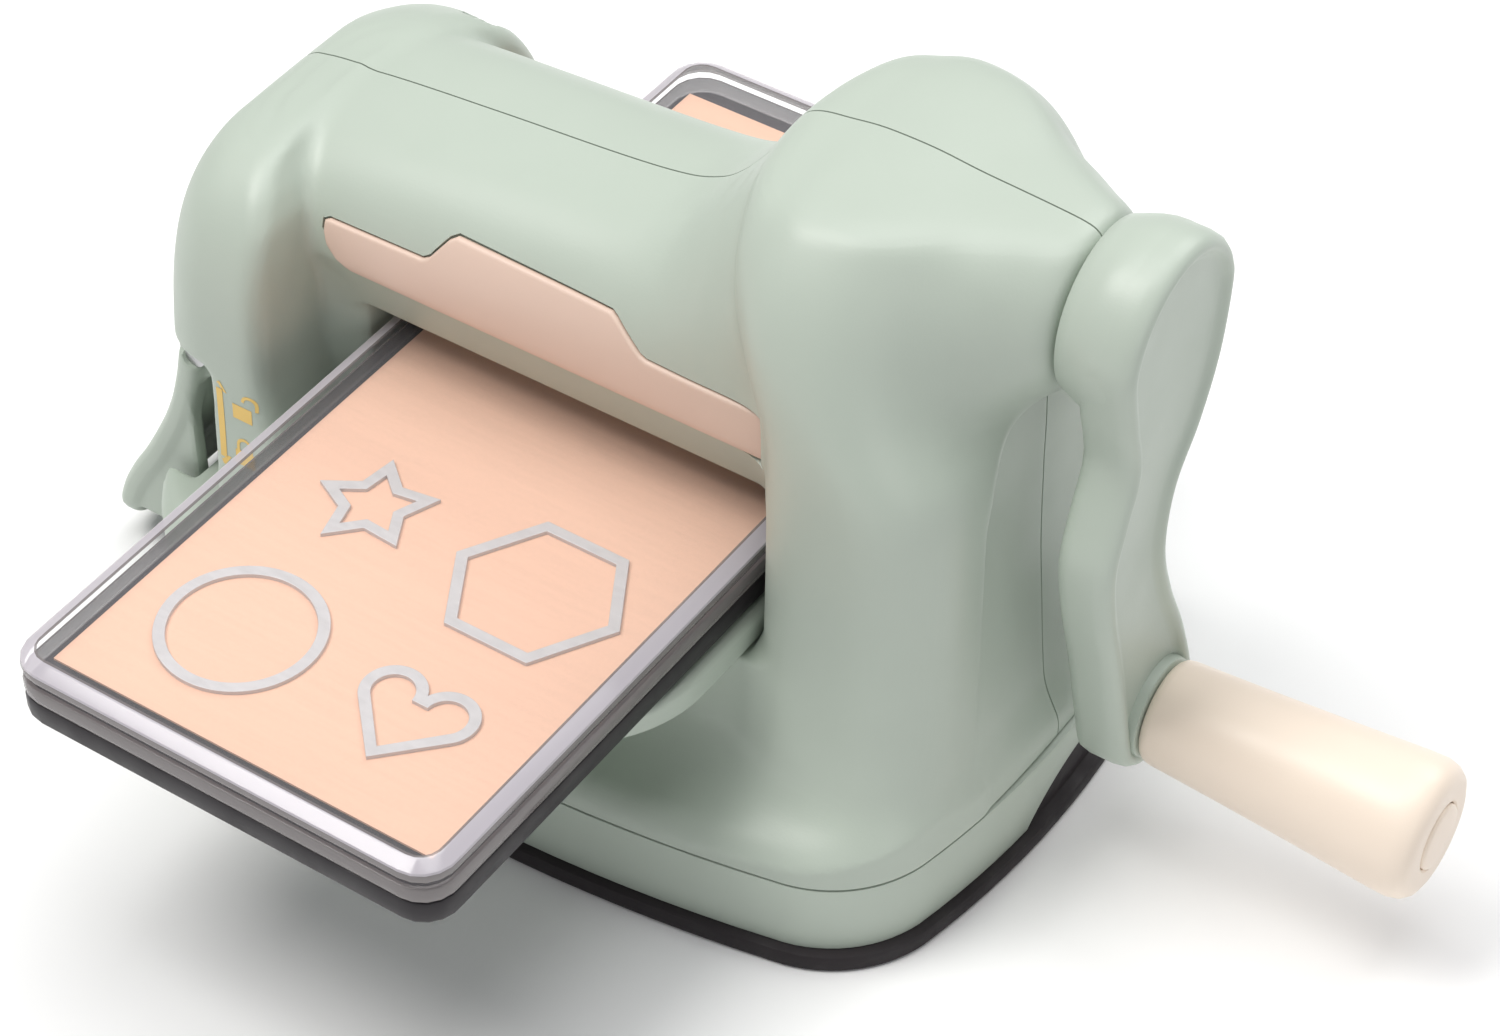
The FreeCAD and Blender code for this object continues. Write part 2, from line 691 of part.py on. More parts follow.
def upper_drive_gear():
    x0, x1 = DRIVE_GEAR_X
    wheel = gear(DRIVE_TEETH, x0, x1, UPPER_Z, 90, STUB_ADDENDUM)
    web = rod_x(22.0, x0, x0 + 1.5, 0, UPPER_Z).cut(rod_x(10.0, x0, x0 + 1.5, 0, UPPER_Z))
    wheel = wheel.cut(web)
    for k in range(6):
        angle = math.radians(60 * k + 30)
        wheel = wheel.cut(rod_x(4.0, x0 - 1, x1 + 1, 16 * math.cos(angle), UPPER_Z + 16 * math.sin(angle)))
    return wheel


def upper_mesh_gear():
    return gear(MESH_TEETH, *MESH_GEAR_X, UPPER_Z, 270, 1.0)


def lower_mesh_gear():
    return gear(MESH_TEETH, *MESH_GEAR_X, LOWER_Z, 90 + 180 / MESH_TEETH, 1.0)


# Crank

def arm_loop(x, inset):
    """Outline of the crank arm: round hub, curved waist, round end at the grip."""
    at = flat_x(x)
    hub = HUB_R - inset
    end = 11.2 - inset
    front = [(-hub, CRANK_Z), (inset - 13.2, CRANK_Z - 10.5), (inset - 11.6, 90.0), (inset - 14.6, 82.0),
             (inset - 17.0, 73.5), (inset - 15.6, 62.0), (inset - 11.6, 48.0), (GRIP_Y - end, GRIP_Z)]
    back = [(GRIP_Y + end, GRIP_Z), (10.4 - inset, 44.0), (5.2 - inset, 56.0), (2.0 - inset, 67.0),
            (3.4 - inset, 78.0), (9.2 - inset, 85.0), (13.6 - inset, 94.0), (hub, CRANK_Z)]
    return Part.Wire([
        spline([at(*p) for p in front]),
        arc(at(GRIP_Y - end, GRIP_Z), at(GRIP_Y, GRIP_Z - end), at(GRIP_Y + end, GRIP_Z)),
        spline([at(*p) for p in back]),
        arc(at(hub, CRANK_Z), at(0, CRANK_Z + hub), at(-hub, CRANK_Z)),
    ])


def crank_arm():
    x0, x1 = ARM_X
    bevel = 1.4
    sections = [(x0, bevel), (x0 + bevel, 0.0), (x1 - bevel, 0.0), (x1, bevel)]
    arm = Part.makeLoft([arm_loop(x, inset) for x, inset in sections], True, True)
    dish = solid_of(arm_loop(x1 - 1.2, 3.4), V(5, 0, 0)).cut(rod_x(10.6, 80, 100, GRIP_Y, GRIP_Z))
    neck_x = JOINT_X + 0.3
    neck = Part.makeCone(BOSS_R, HUB_R - 0.6, x0 + 2 - neck_x, V(neck_x, 0, CRANK_Z), V(1, 0, 0))
    arm = fuse([arm.cut(dish), neck])
    bore = rod_x(SHAFT_R + SLIP, 70, CRANK_SHAFT_X[1] + SLIP, 0, CRANK_Z)
    arm = arm.cut(bore.cut(d_flat(JOINT_X + 0.8, 95, CRANK_Z, SLIP)))
    return arm.cut(rod_x(GRIP_PIN_R + SLIP, x0 + 2, x1 + 5, GRIP_Y, GRIP_Z))


PIN_HEAD_X = (136.0, 137.6)
PIN_HEAD_R = 5.0


def grip_pin():
    pin = rod_x(GRIP_PIN_R, ARM_X[0] + 2.5, PIN_HEAD_X[0] + 0.5, GRIP_Y, GRIP_Z)
    return fuse([pin, rod_x(PIN_HEAD_R, *PIN_HEAD_X, GRIP_Y, GRIP_Z)])


def crank_grip():
    """Flared round grip, bored for its pin and open at the end for the cap."""
    x0, x1 = GRIP_X
    r0, r1 = GRIP_R
    body = Part.makeCone(r0, r1, x1 - x0, V(x0, GRIP_Y, GRIP_Z), V(1, 0, 0))
    body = body.makeFillet(1.4, rim_at(body, x0))
    body = body.makeFillet(4.5, rim_at(body, x1))
    body = body.cut(rod_x(GRIP_PIN_R + RUNNING, x0 - 1, x1 + 1, GRIP_Y, GRIP_Z))
    return body.cut(rod_x(CAP_R, PIN_HEAD_X[0] - 0.3, x1 + 1, GRIP_Y, GRIP_Z))


CAP_R = 5.6


def rim_at(shape, x):
    boxes = [(edge, edge.BoundBox) for edge in shape.Edges]
    return [edge for edge, room in boxes if abs(room.XMin - x) < 0.01 and room.XLength < 0.01]


def grip_cap():
    cap = rod_x(CAP_R - SLIP, PIN_HEAD_X[1] + 0.6, GRIP_X[1] + 0.6, GRIP_Y, GRIP_Z)
    return cap.makeFillet(0.6, rim_at(cap, GRIP_X[1] + 0.6))


# Suction lock

def suction_lever():
    """Paddle that flares outwards, with a hinge barrel on top and a cam that works the beam."""
    centre_x = LEVER_X - LEVER_BARREL_R - LEVER_SWEEP_R
    top_z = LEVER_Z - 2.5
    at = flat_y(-LEVER_HALF_Y)
    outer_r = LEVER_SWEEP_R
    inner_r = LEVER_SWEEP_R + LEVER_T
    sweep = math.radians(LEVER_SWEEP_DEG)

    def spot(r, angle):
        return at(centre_x + r * math.cos(angle), top_z - r * math.sin(angle))

    tip = (outer_r + inner_r) / 2
    paddle = solid_of(Part.Wire([
        line(at(LEVER_X - LEVER_BARREL_R, LEVER_Z), spot(outer_r, 0)),
        arc(spot(outer_r, 0), spot(outer_r, sweep / 2), spot(outer_r, sweep)),
        arc(spot(outer_r, sweep), spot(tip, sweep + LEVER_T / 2 / tip), spot(inner_r, sweep)),
        arc(spot(inner_r, sweep), spot(inner_r, sweep / 2), spot(inner_r, 0)),
        line(spot(inner_r, 0), at(LEVER_X - LEVER_BARREL_R + LEVER_T, LEVER_Z)),
        line(at(LEVER_X - LEVER_BARREL_R + LEVER_T, LEVER_Z), at(LEVER_X - LEVER_BARREL_R, LEVER_Z)),
    ]), V(0, 2 * LEVER_HALF_Y, 0))
    barrel = rod_y(LEVER_BARREL_R, -LEVER_HALF_Y, LEVER_HALF_Y, LEVER_X, LEVER_Z)
    lever = fuse([paddle, barrel, lever_cam()])
    for side in (-1, 1):
        near, far = sorted((side * (RIB_Y[0] - 0.4), side * (RIB_Y[1] + 0.4)))
        lever = lever.cut(box(-80, -55, near, far, LEVER_Z - 6.2, LEVER_Z + 8))
    return lever.cut(rod_y(2.0 + RUNNING, -40, 40, LEVER_X, LEVER_Z))


def lever_cam():
    """Cam whose radius falls evenly with angle, so the beam's rise is in step with the lever."""
    half_y = 5.0
    at = flat_y(-half_y)

    def spot(r, degrees):
        angle = math.radians(degrees)
        return at(LEVER_X + r * math.sin(angle), LEVER_Z - r * math.cos(angle))

    fall = [spot(CAM_R - CAM_DROP * math.radians(d), d) for d in range(0, 101, 20)]
    rise = [spot(CAM_R, 0), spot(CAM_R - 0.2, -10), spot(CAM_R - 1.5, -25)]
    wire = Part.Wire([
        spline(fall),
        line(fall[-1], spot(0, 0)),
        line(spot(0, 0), rise[-1]),
        spline(rise[::-1]),
    ])
    return solid_of(wire, V(0, 2 * half_y, 0))


def lever_pin():
    return rod_y(2.0, -LEVER_HALF_Y + 1, LEVER_HALF_Y - 1, LEVER_X, LEVER_Z)


BEAM_PIN_Z = (BEAM_Z[0] + BEAM_Z[1]) / 2


def lift_beam():
    """Rocking beam: a post under the lever's cam, a fork round the suction stud."""
    z0, z1 = BEAM_Z
    bar = fuse([
        box(-68.4, 5.5, -5.5, 5.5, z0, z1),
        box(-68.4, -64.0, -4, 4, z0, LEVER_Z - CAM_R - 0.4),
        rod_y(4.0, -5.5, 5.5, BEAM_X, BEAM_PIN_Z),
    ])
    bar = bar.cut(box(-4.2, 10, -4.2, 4.2, 0, 20)).cut(rod_z(4.2, 0, 20, -0.5, 0))
    return bar.cut(rod_y(2.0 + RUNNING, -20, 20, BEAM_X, BEAM_PIN_Z))


def beam_bracket():
    ears = [box(BEAM_X - 4.5, BEAM_X + 6, -14, 14, TRAY_FLOOR_Z, TRAY_FLOOR_Z + 1.5)]
    for side in (-1, 1):
        near, far = sorted((side * 6.2, side * 8.2))
        ears.append(box(BEAM_X - 4, BEAM_X + 4, near, far, TRAY_FLOOR_Z, 17))
    return fuse(ears).cut(rod_y(2.0 + SLIP, -20, 20, BEAM_X, BEAM_PIN_Z))


def beam_pin():
    return rod_y(2.0, -9.4, 9.4, BEAM_X, BEAM_PIN_Z)


def suction_stud():
    return fuse([rod_z(12.0, 6.4, 8.2, 0, 0), rod_z(3.5, 8, 17, 0, 0), rod_z(6.5, 15.0, 17.4, 0, 0)])


# Fasteners

def casing_screws():
    screws = []
    for x, z in CASING_SCREWS:
        head = rod_y(SCREW_HEAD_R, CASING_HEAD_Y, CASING_HEAD_Y + SCREW_HEAD_T, x, z)
        screws.append(fuse([rod_y(SCREW_R, -13, CASING_HEAD_Y + 0.5, x, z), head]))
    return Part.makeCompound(screws)


def tray_screws():
    screws = []
    for x, y in TRAY_SCREWS:
        head = rod_z(SCREW_HEAD_R, TRAY_BOTTOM_Z + 0.05, TRAY_BOTTOM_Z + SCREW_HEAD_T, x, y)
        screws.append(fuse([rod_z(SCREW_R, TRAY_BOTTOM_Z + 1, 16, x, y), head]))
    return Part.makeCompound(screws)


def frame_screws():
    flange = TRAY_FLOOR_Z + 2
    screws = []
    for x, y in FRAME_SCREWS:
        head = rod_z(SCREW_HEAD_R, flange, flange + SCREW_HEAD_T, x, y)
        screws.append(fuse([rod_z(SCREW_R, TRAY_BOTTOM_Z + 0.1, flange + 0.5, x, y), head]))
    return Part.makeCompound(screws)


# Plates, card and dies

def plate(z, thickness, shrink, edge_round):
    half_x = PLATE_WIDTH / 2 - shrink
    y0 = PLATE_FRONT_Y + shrink
    y1 = PLATE_BACK_Y - shrink
    slab = solid_of(rounded_loop(flat_z(z), -half_x, half_x, y0, y1, PLATE_CORNER), V(0, 0, thickness))
    rims = [edge for edge in slab.Edges if edge.BoundBox.ZLength < 0.01]
    return slab.makeFillet(edge_round, rims)


LOWER_PLATE_Z = STACK_BOTTOM_Z + BASE_PLATE_T
CARD_Z = LOWER_PLATE_Z + CUT_PLATE_T
DIE_Z = CARD_Z + CARD_T
UPPER_PLATE_Z = DIE_Z + DIE_T
CARD_X = (-36.0, 35.2)
CARD_Y = (-105.0, 62.0)


def card_sheet():
    return box(*CARD_X, *CARD_Y, CARD_Z, DIE_Z)


def star_die():
    centre = (-16.6, -52.1)
    tip_r = 10.4
    notch_r = 5.6
    first_deg = 39.0
    corners = []
    for k in range(10):
        r = notch_r if k % 2 else tip_r
        angle = math.radians(first_deg + 36 * k)
        corners.append((centre[0] + r * math.cos(angle), centre[1] + r * math.sin(angle)))
    inner = [(centre[0] + (x - centre[0]) * 0.64, centre[1] + (y - centre[1]) * 0.64) for x, y in corners]
    at = flat_z(DIE_Z)
    frame = Part.Face(polygon(at, corners)).cut(Part.Face(polygon(at, inner)))
    return frame.extrude(V(0, 0, DIE_T))


def hexagon_die():
    centre = (15.9, -53.5)
    at = flat_z(DIE_Z)

    def ring(r):
        angles = [math.radians(60 * k) for k in range(6)]
        corners = [(centre[0] + r * math.cos(a), centre[1] + r * math.sin(a)) for a in angles]
        return Part.Face(polygon(at, corners))

    return ring(15.4).cut(ring(13.2)).extrude(V(0, 0, DIE_T))


def circle_die():
    centre = (-16.3, -84.8)
    return rod_z(13.4, DIE_Z, UPPER_PLATE_Z, *centre).cut(rod_z(11.5, DIE_Z, UPPER_PLATE_Z, *centre))


def heart_face(at, inset):
    """Heart from two round lobes and a point."""
    axis_x = 15.6
    lobe_y = -82.4
    spread = 4.9
    r = 5.3 - inset
    point_y = -95.2 + inset * 1.35
    reach = math.hypot(spread, lobe_y - point_y)
    swing = math.atan2(spread, lobe_y - point_y) + math.asin(r / reach)
    tangent = math.sqrt(reach ** 2 - r ** 2)
    side_x = tangent * math.sin(swing)
    side_y = point_y + tangent * math.cos(swing)
    notch_y = lobe_y + math.sqrt(r ** 2 - spread ** 2) if r > spread else lobe_y
    lobes = []
    for side in (-1, 1):
        lobes.append(Part.Face(Part.Wire(Part.makeCircle(r, at(axis_x + side * spread, lobe_y)))))
    body = Part.Face(polygon(at, [(axis_x, point_y), (axis_x + side_x, side_y), (axis_x + spread, lobe_y),
                                  (axis_x, notch_y), (axis_x - spread, lobe_y), (axis_x - side_x, side_y)]))
    return body.multiFuse(lobes).removeSplitter()


def heart_die():
    at = flat_z(DIE_Z)
    return heart_face(at, 0.0).cut(heart_face(at, 1.9)).extrude(V(0, 0, DIE_T))


def build():
    blank = casing_blank()
    trim = front_trim()
    return {
        "front_shell": front_shell(blank, trim),
        "rear_shell": rear_shell(blank),
        "base_tray": base_tray(),
        "suction_pad": suction_pad(),
        "front_trim": trim,
        "feed_deck": feed_deck(),
        "left_side_plate": side_plate(-1),
        "right_side_plate": side_plate(1),
        "gear_plate": gear_plate(),
        "gear_plate_spacers": gear_plate_spacers(),
        "gear_plate_screws": gear_plate_screws(),
        "tie_rods": tie_rods(),
        "tie_rod_nuts": tie_rod_nuts(),
        "upper_bushes": roller_bushes(UPPER_Z),
        "lower_bushes": roller_bushes(LOWER_Z),
        "crank_bushes": crank_bushes(),
        "casing_screws": casing_screws(),
        "tray_screws": tray_screws(),
        "frame_screws": frame_screws(),
        "lever_pin": lever_pin(),
        "beam_bracket": beam_bracket(),
        "beam_pin": beam_pin(),
        "upper_roller": roller(UPPER_Z),
        "upper_drive_gear": upper_drive_gear(),
        "upper_mesh_gear": upper_mesh_gear(),
        "upper_clips": roller_clips(UPPER_Z),
        "lower_roller": roller(LOWER_Z),
        "lower_mesh_gear": lower_mesh_gear(),
        "lower_clips": roller_clips(LOWER_Z),
        "crank_shaft": crank_shaft(),
        "crank_pinion": crank_pinion(),
        "crank_clip": clip(CRANK_CLIP_X, CRANK_Z),
        "crank_arm": crank_arm(),
        "grip_pin": grip_pin(),
        "crank_grip": crank_grip(),
        "grip_cap": grip_cap(),
        "suction_lever": suction_lever(),
        "lift_beam": lift_beam(),
        "suction_stud": suction_stud(),
        "base_plate": plate(STACK_BOTTOM_Z, BASE_PLATE_T, 0.0, 0.6),
        "lower_cutting_plate": plate(LOWER_PLATE_Z, CUT_PLATE_T, 0.0, 0.5),
        "card_sheet": card_sheet(),
        "star_die": star_die(),
        "hexagon_die": hexagon_die(),
        "circle_die": circle_die(),
        "heart_die": heart_die(),
        "upper_cutting_plate": plate(UPPER_PLATE_Z, CUT_PLATE_T, 0.0, 0.9),
    }


os.makedirs("parts", exist_ok=True)
for name, shape in build().items():
    solids = shape.Solids
    print(name, "solids", len(solids), "valid", shape.isValid(), "volume", round(shape.Volume, 1))
    shape.exportStep("parts/" + name + ".step")
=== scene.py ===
import json
import logging
import math
from dataclasses import dataclass
from enum import Enum
from functools import reduce
from typing import Iterable, Optional, Sequence, Union

import bmesh
import bpy
import numpy as np
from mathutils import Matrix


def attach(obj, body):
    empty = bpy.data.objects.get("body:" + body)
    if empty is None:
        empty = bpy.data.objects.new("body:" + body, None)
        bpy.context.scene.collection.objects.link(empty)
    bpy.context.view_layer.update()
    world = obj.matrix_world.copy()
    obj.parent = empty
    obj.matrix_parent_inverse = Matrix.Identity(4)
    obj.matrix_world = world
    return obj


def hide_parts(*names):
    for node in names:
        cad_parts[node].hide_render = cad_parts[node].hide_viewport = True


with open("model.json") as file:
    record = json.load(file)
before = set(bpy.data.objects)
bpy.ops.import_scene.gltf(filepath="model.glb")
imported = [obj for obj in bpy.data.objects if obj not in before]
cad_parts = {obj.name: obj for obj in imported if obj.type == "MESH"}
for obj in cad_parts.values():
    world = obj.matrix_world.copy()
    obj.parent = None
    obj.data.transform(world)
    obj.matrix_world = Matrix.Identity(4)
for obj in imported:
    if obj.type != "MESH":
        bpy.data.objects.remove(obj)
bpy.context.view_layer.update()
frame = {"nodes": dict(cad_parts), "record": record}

import openvdb
from bpy.types import Material, Mesh, Node, NodeSocket as Socket, Object
from mathutils import Matrix, Vector
from mathutils.bvhtree import BVHTree

MM = 0.001
SHARP_DEG = 38.0
FLAT_DEG = 0.5
MERGE_M = 1e-7
WELD_M = 2e-6
log = logging.getLogger("die_cutter")

Array = np.ndarray
Triple = tuple[float, float, float]
Span = tuple[float, float]
Table = Sequence[Span]
Value = Union[float, Array]
Places = tuple[Array, Array, Array]


class Body(str, Enum):
    """Rigid bodies of the CAD part that pieces ride on."""

    CASING = "casing"
    CRANK = "crank"
    GRIP = "grip"
    STACK = "plate_stack"
    LEVER = "lever"


class Slot(str, Enum):
    """Material slots of the record that get a finish here."""

    SAGE = "sage_plastic"
    CREAM = "cream_plastic"
    RUBBER = "black_rubber"
    BLACK = "black_plastic"
    CLEAR = "clear_plastic"
    DIE = "die_steel"
    BRASS = "bush_brass"
    STEEL = "steel"


class Light(Enum):
    """Studio lights: place in metres, size in metres, power in watts and colour."""

    KEY = ((-0.42, -0.42, 1.25), 0.65, 10.5, (1.0, 0.985, 0.955))
    FILL = ((1.15, -0.75, 0.55), 0.8, 1.7, (1.0, 0.97, 0.97))
    BACK = ((0.25, 0.95, 0.95), 0.8, 5.5, (1.0, 1.0, 1.0))
    TOP = ((0.05, 0.10, 1.45), 1.0, 8.5, (1.0, 1.0, 1.0))


# Shader helpers and finishes


class Shader:
    """One node material with the few textures that the finishes share."""

    def __init__(self, name: str) -> None:
        """Start a material.

        Args:
            name: name of the material.
        """
        self.material = bpy.data.materials.new(name)
        self.material.use_nodes = True
        self.tree = self.material.node_tree
        self.surface = self.tree.nodes["Principled BSDF"]
        self.coords = self.tree.nodes.new("ShaderNodeTexCoord").outputs["Object"]

    def fill(self, node: Node, **inputs: object) -> None:
        """Set or link inputs of a node.

        Args:
            node: the node.
            inputs: input names, with underscores for spaces, and their values or the outputs to link.
        """
        for name, value in inputs.items():
            socket = node.inputs[name.replace("_", " ")]
            if isinstance(value, Socket):
                self.tree.links.new(value, socket)
            else:
                socket.default_value = value

    def set(self, **inputs: object) -> None:
        """Set or link inputs of the surface shader, as fill does."""
        self.fill(self.surface, **inputs)

    def add(self, kind: str, **inputs: object) -> Node:
        """Add a node.

        Args:
            kind: type of the node, without its prefix.
            inputs: as for fill.

        Returns:
            The node.
        """
        node = self.tree.nodes.new("ShaderNode" + kind)
        self.fill(node, **inputs)
        return node

    def noise(self, scale: float, detail: float, stretch: Triple = (1, 1, 1)) -> Socket:
        """Grey noise in object space, by cycles per metre, octaves of detail and stretch of the axes."""
        places = self.add("Mapping", Scale=stretch, Vector=self.coords).outputs["Vector"]
        return self.add("TexNoise", Scale=scale, Detail=detail, Vector=places).outputs["Fac"]

    def spread(self, source: Socket, to: Sequence[float], start: float = 0.3, stop: float = 0.7) -> Socket:
        """Grey output mapped from start and stop to the two ends of a range."""
        node = self.add("MapRange", Value=source, From_Min=start, From_Max=stop, To_Min=to[0], To_Max=to[1])
        return node.outputs["Result"]

    def mix(self, factor: Socket, a: object, b: object) -> Socket:
        """Mix two colours.

        Args:
            factor: grey output.
            a: colour, or output, at factor 0.
            b: colour, or output, at factor 1.

        Returns:
            The mixed colour.
        """
        node = self.add("Mix", Factor=factor)
        node.data_type = "RGBA"
        for socket, value in ((node.inputs[6], a), (node.inputs[7], b)):
            if isinstance(value, Socket):
                self.tree.links.new(value, socket)
            else:
                socket.default_value = (*value, 1.0)
        return node.outputs[2]

    def bump(self, heights: Iterable[tuple[Socket, float]]) -> None:
        """Stack bumps on the surface normal.

        Args:
            heights: grey outputs with their depths in metres.
        """
        below = {}
        for source, depth in heights:
            node = self.add("Bump", Distance=depth, Strength=1.0, Height=source, **below)
            below = {"Normal": node.outputs["Normal"]}
        self.set(**below)

    def edges(self, start: float, stop: float, most: float) -> Socket:
        """Grey output that rises on convex edges from 0 to the most, between two values of pointiness."""
        pointed = self.add("NewGeometry").outputs["Pointiness"]
        return self.spread(pointed, (0.0, most), start, stop)


@dataclass(frozen=True)
class Finish:
    """A look with a name and a main colour; noises are given as scale and detail."""

    name: str
    colour: Triple

    def tone(self, factor: float) -> Triple:
        """Main colour, made lighter or darker by a factor."""
        return tuple(min(1.0, c * factor) for c in self.colour)

    def paint(self, s: Shader) -> None:
        """Set up the surface in the finish's shader."""
        raise NotImplementedError

    def material(self) -> Material:
        """Build the finish.

        Returns:
            The node material.
        """
        s = Shader(self.name)
        self.paint(s)
        return s.material


@dataclass(frozen=True)
class MouldedPlastic(Finish):
    """Satin moulded plastic with fine grain, cloudy gloss and slightly worn edges."""

    roughness: float = 0.42
    gloss: Span = (-0.06, 0.07)
    clouds: Span = (22.0, 4.0)
    cloud_tones: Span = (0.965, 1.035)
    smudges: Span = (75.0, 5.0)
    grain: Span = (2400.0, 2.0)
    grain_depth: float = 0.000012
    waves: Span = (60.0, 1.0)
    wave_depth: float = 0.00003
    worn_edge: Span = (0.51, 0.60)
    worn_share: float = 0.16
    worn_tone: float = 1.35

    def paint(self, s: Shader) -> None:
        """Set up the surface.

        Args:
            s: shader of the finish.
        """
        base = s.mix(s.noise(*self.clouds), *map(self.tone, self.cloud_tones))
        worn = s.edges(*self.worn_edge, self.worn_share)
        gloss = s.spread(s.noise(*self.smudges), [self.roughness + change for change in self.gloss])
        s.bump([(s.noise(*self.grain), self.grain_depth), (s.noise(*self.waves), self.wave_depth)])
        s.set(Base_Color=s.mix(worn, base, self.tone(self.worn_tone)), Roughness=gloss,
              Specular_IOR_Level=0.45, Coat_Weight=0.06, Coat_Roughness=0.25)


@dataclass(frozen=True)
class Rubber(Finish):
    """Dull dark rubber or hard black plastic with a sandy grain."""

    roughness: float
    grain_depth: float
    gloss: Span = (-0.08, 0.1)
    clouds: Span = (40.0, 5.0)
    cloud_tones: Span = (0.8, 1.3)
    smudges: Span = (160.0, 4.0)
    grain: Span = (1700.0, 3.0)

    def paint(self, s: Shader) -> None:
        """Set up the surface.

        Args:
            s: shader of the finish.
        """
        gloss = s.spread(s.noise(*self.smudges), [self.roughness + change for change in self.gloss])
        s.bump([(s.noise(*self.grain), self.grain_depth)])
        s.set(Base_Color=s.mix(s.noise(*self.clouds), *map(self.tone, self.cloud_tones)), Roughness=gloss,
              Specular_IOR_Level=0.35)


@dataclass(frozen=True)
class ClearPlastic(Finish):
    """Clear acrylic; the rim is denser and lighter than the faces, a painted highlight for light caught in
    the plate's edge.
    """

    alpha: float
    roughness: float
    gloss: Span = (0.0, 0.08)
    smudges: Span = (30.0, 4.0)
    waves: Span = (420.0, 2.0)
    wave_stretch: Triple = (1.0, 0.05, 1.0)
    wave_depth: float = 0.000004

    def paint(self, s: Shader) -> None:
        """Set up the surface.

        Args:
            s: shader of the finish.
        """
        gloss = s.spread(s.noise(*self.smudges), [self.roughness + change for change in self.gloss])
        s.bump([(s.noise(*self.waves, self.wave_stretch), self.wave_depth)])
        s.set(Base_Color=(*self.colour, 1.0), Alpha=self.alpha, Roughness=gloss, Specular_IOR_Level=0.9)
        s.material.surface_render_method = "BLENDED"


@dataclass(frozen=True)
class Paper(Finish):
    """Matt card with fine ribs and fibres."""

    ribs: Span = (900.0, 3.0)
    rib_stretch: Triple = (0.06, 1.0, 1.0)
    rib_share: float = 0.5
    rib_tone: float = 0.9
    fibres: Span = (1500.0, 4.0)
    fibre_share: float = 0.35
    fibre_tone: float = 1.08
    clouds: Span = (14.0, 3.0)
    cloud_tones: Span = (0.97, 1.03)
    depth: float = 0.00002

    def paint(self, s: Shader) -> None:
        """Set up the surface.

        Args:
            s: shader of the finish.
        """
        ribs, fibres = s.noise(*self.ribs, self.rib_stretch), s.noise(*self.fibres)
        look = s.mix(s.noise(*self.clouds), *map(self.tone, self.cloud_tones))
        look = s.mix(s.spread(ribs, (0.0, self.rib_share)), look, self.tone(self.rib_tone))
        look = s.mix(s.spread(fibres, (0.0, self.fibre_share)), look, self.tone(self.fibre_tone))
        s.bump([(ribs, self.depth), (fibres, self.depth)])
        s.set(Base_Color=look, Roughness=0.92, Specular_IOR_Level=0.2)


@dataclass(frozen=True)
class Metal(Finish):
    """Metal with brushed streaks along one axis."""

    roughness: float
    stretch: Triple = (0.04, 1.0, 1.0)
    depth: float = 0.000006
    metallic: float = 1.0
    gloss: Span = (-0.07, 0.09)
    streaks: Span = (1300.0, 4.0)
    streak_tones: Span = (0.88, 1.1)

    def paint(self, s: Shader) -> None:
        """Set up the surface.

        Args:
            s: shader of the finish.
        """
        lines = s.noise(*self.streaks, self.stretch)
        gloss = s.spread(lines, [self.roughness + change for change in self.gloss])
        s.bump([(lines, self.depth)])
        s.set(Base_Color=s.mix(lines, *map(self.tone, self.streak_tones)), Roughness=gloss,
              Metallic=self.metallic)


SAGE = MouldedPlastic("sage", (0.445, 0.505, 0.438))
CREAM = MouldedPlastic("cream", (0.700, 0.530, 0.440), 0.46)
IVORY = MouldedPlastic("ivory", (0.860, 0.735, 0.620), 0.40)
FOOT_RUBBER = Rubber("foot_rubber", (0.018, 0.014, 0.016), 0.62, 0.00003)
PLATE_BLACK = Rubber("plate_black", (0.020, 0.017, 0.020), 0.42, 0.00001)
CLEAR_FACE = ClearPlastic("clear_face", (0.80, 0.78, 0.82), 0.05, 0.05)
# Painted highlight: this light, less clear finish on the upper plate's top bevel bands stands in for light
# caught in the edge.
CLEAR_RIM_PAINTED_HIGHLIGHT = ClearPlastic("clear_rim_painted_highlight", (0.80, 0.75, 0.82), 0.55, 0.10)
CLEAR_SIDE = ClearPlastic("clear_side", (0.20, 0.18, 0.18), 0.80, 0.14)
PEACH_CARD = Paper("peach_card", (0.815, 0.520, 0.380))
DIE_STEEL = Metal("die_steel", (0.60, 0.585, 0.59), 0.55, (0.3, 1.0, 1.0), metallic=0.3)
STEEL = Metal("machined_steel", (0.50, 0.50, 0.51), 0.34)
BRASS = Metal("bush_brass", (0.62, 0.45, 0.20), 0.34)
GOLD_PRINT = Metal("gold_print", (0.66, 0.47, 0.17), 0.45, (1.0, 1.0, 1.0), 0.000002)


# Curves and meshes, in millimetres until they become objects


def through(table: Table, at: Array) -> Array:
    """Smooth curve through points that never overshoots them.

    Args:
        table: pairs of place and value, in rising order of place.
        at: places to evaluate.

    Returns:
        The values at those places.
    """
    xs, ys = (np.array(column, float) for column in zip(*table))
    step = np.diff(xs)
    slope = np.diff(ys) / step
    tangent = np.zeros_like(ys)
    same = slope[:-1] * slope[1:] > 0
    total = np.where(same, slope[:-1] + slope[1:], 1.0)
    tangent[1:-1] = np.where(same, 2 * slope[:-1] * slope[1:] / total, 0.0)
    tangent[0], tangent[-1] = slope[0], slope[-1]
    clipped = np.clip(at, xs[0], xs[-1])
    k = np.clip(np.searchsorted(xs, clipped) - 1, 0, len(step) - 1)
    t = (clipped - xs[k]) / step[k]
    value = ys[k] * (1 + 2 * t) * (1 - t) ** 2 + tangent[k] * step[k] * t * (1 - t) ** 2
    value += ys[k + 1] * t * t * (3 - 2 * t) + tangent[k + 1] * step[k] * t * t * (t - 1)
    return value.astype(np.float32)


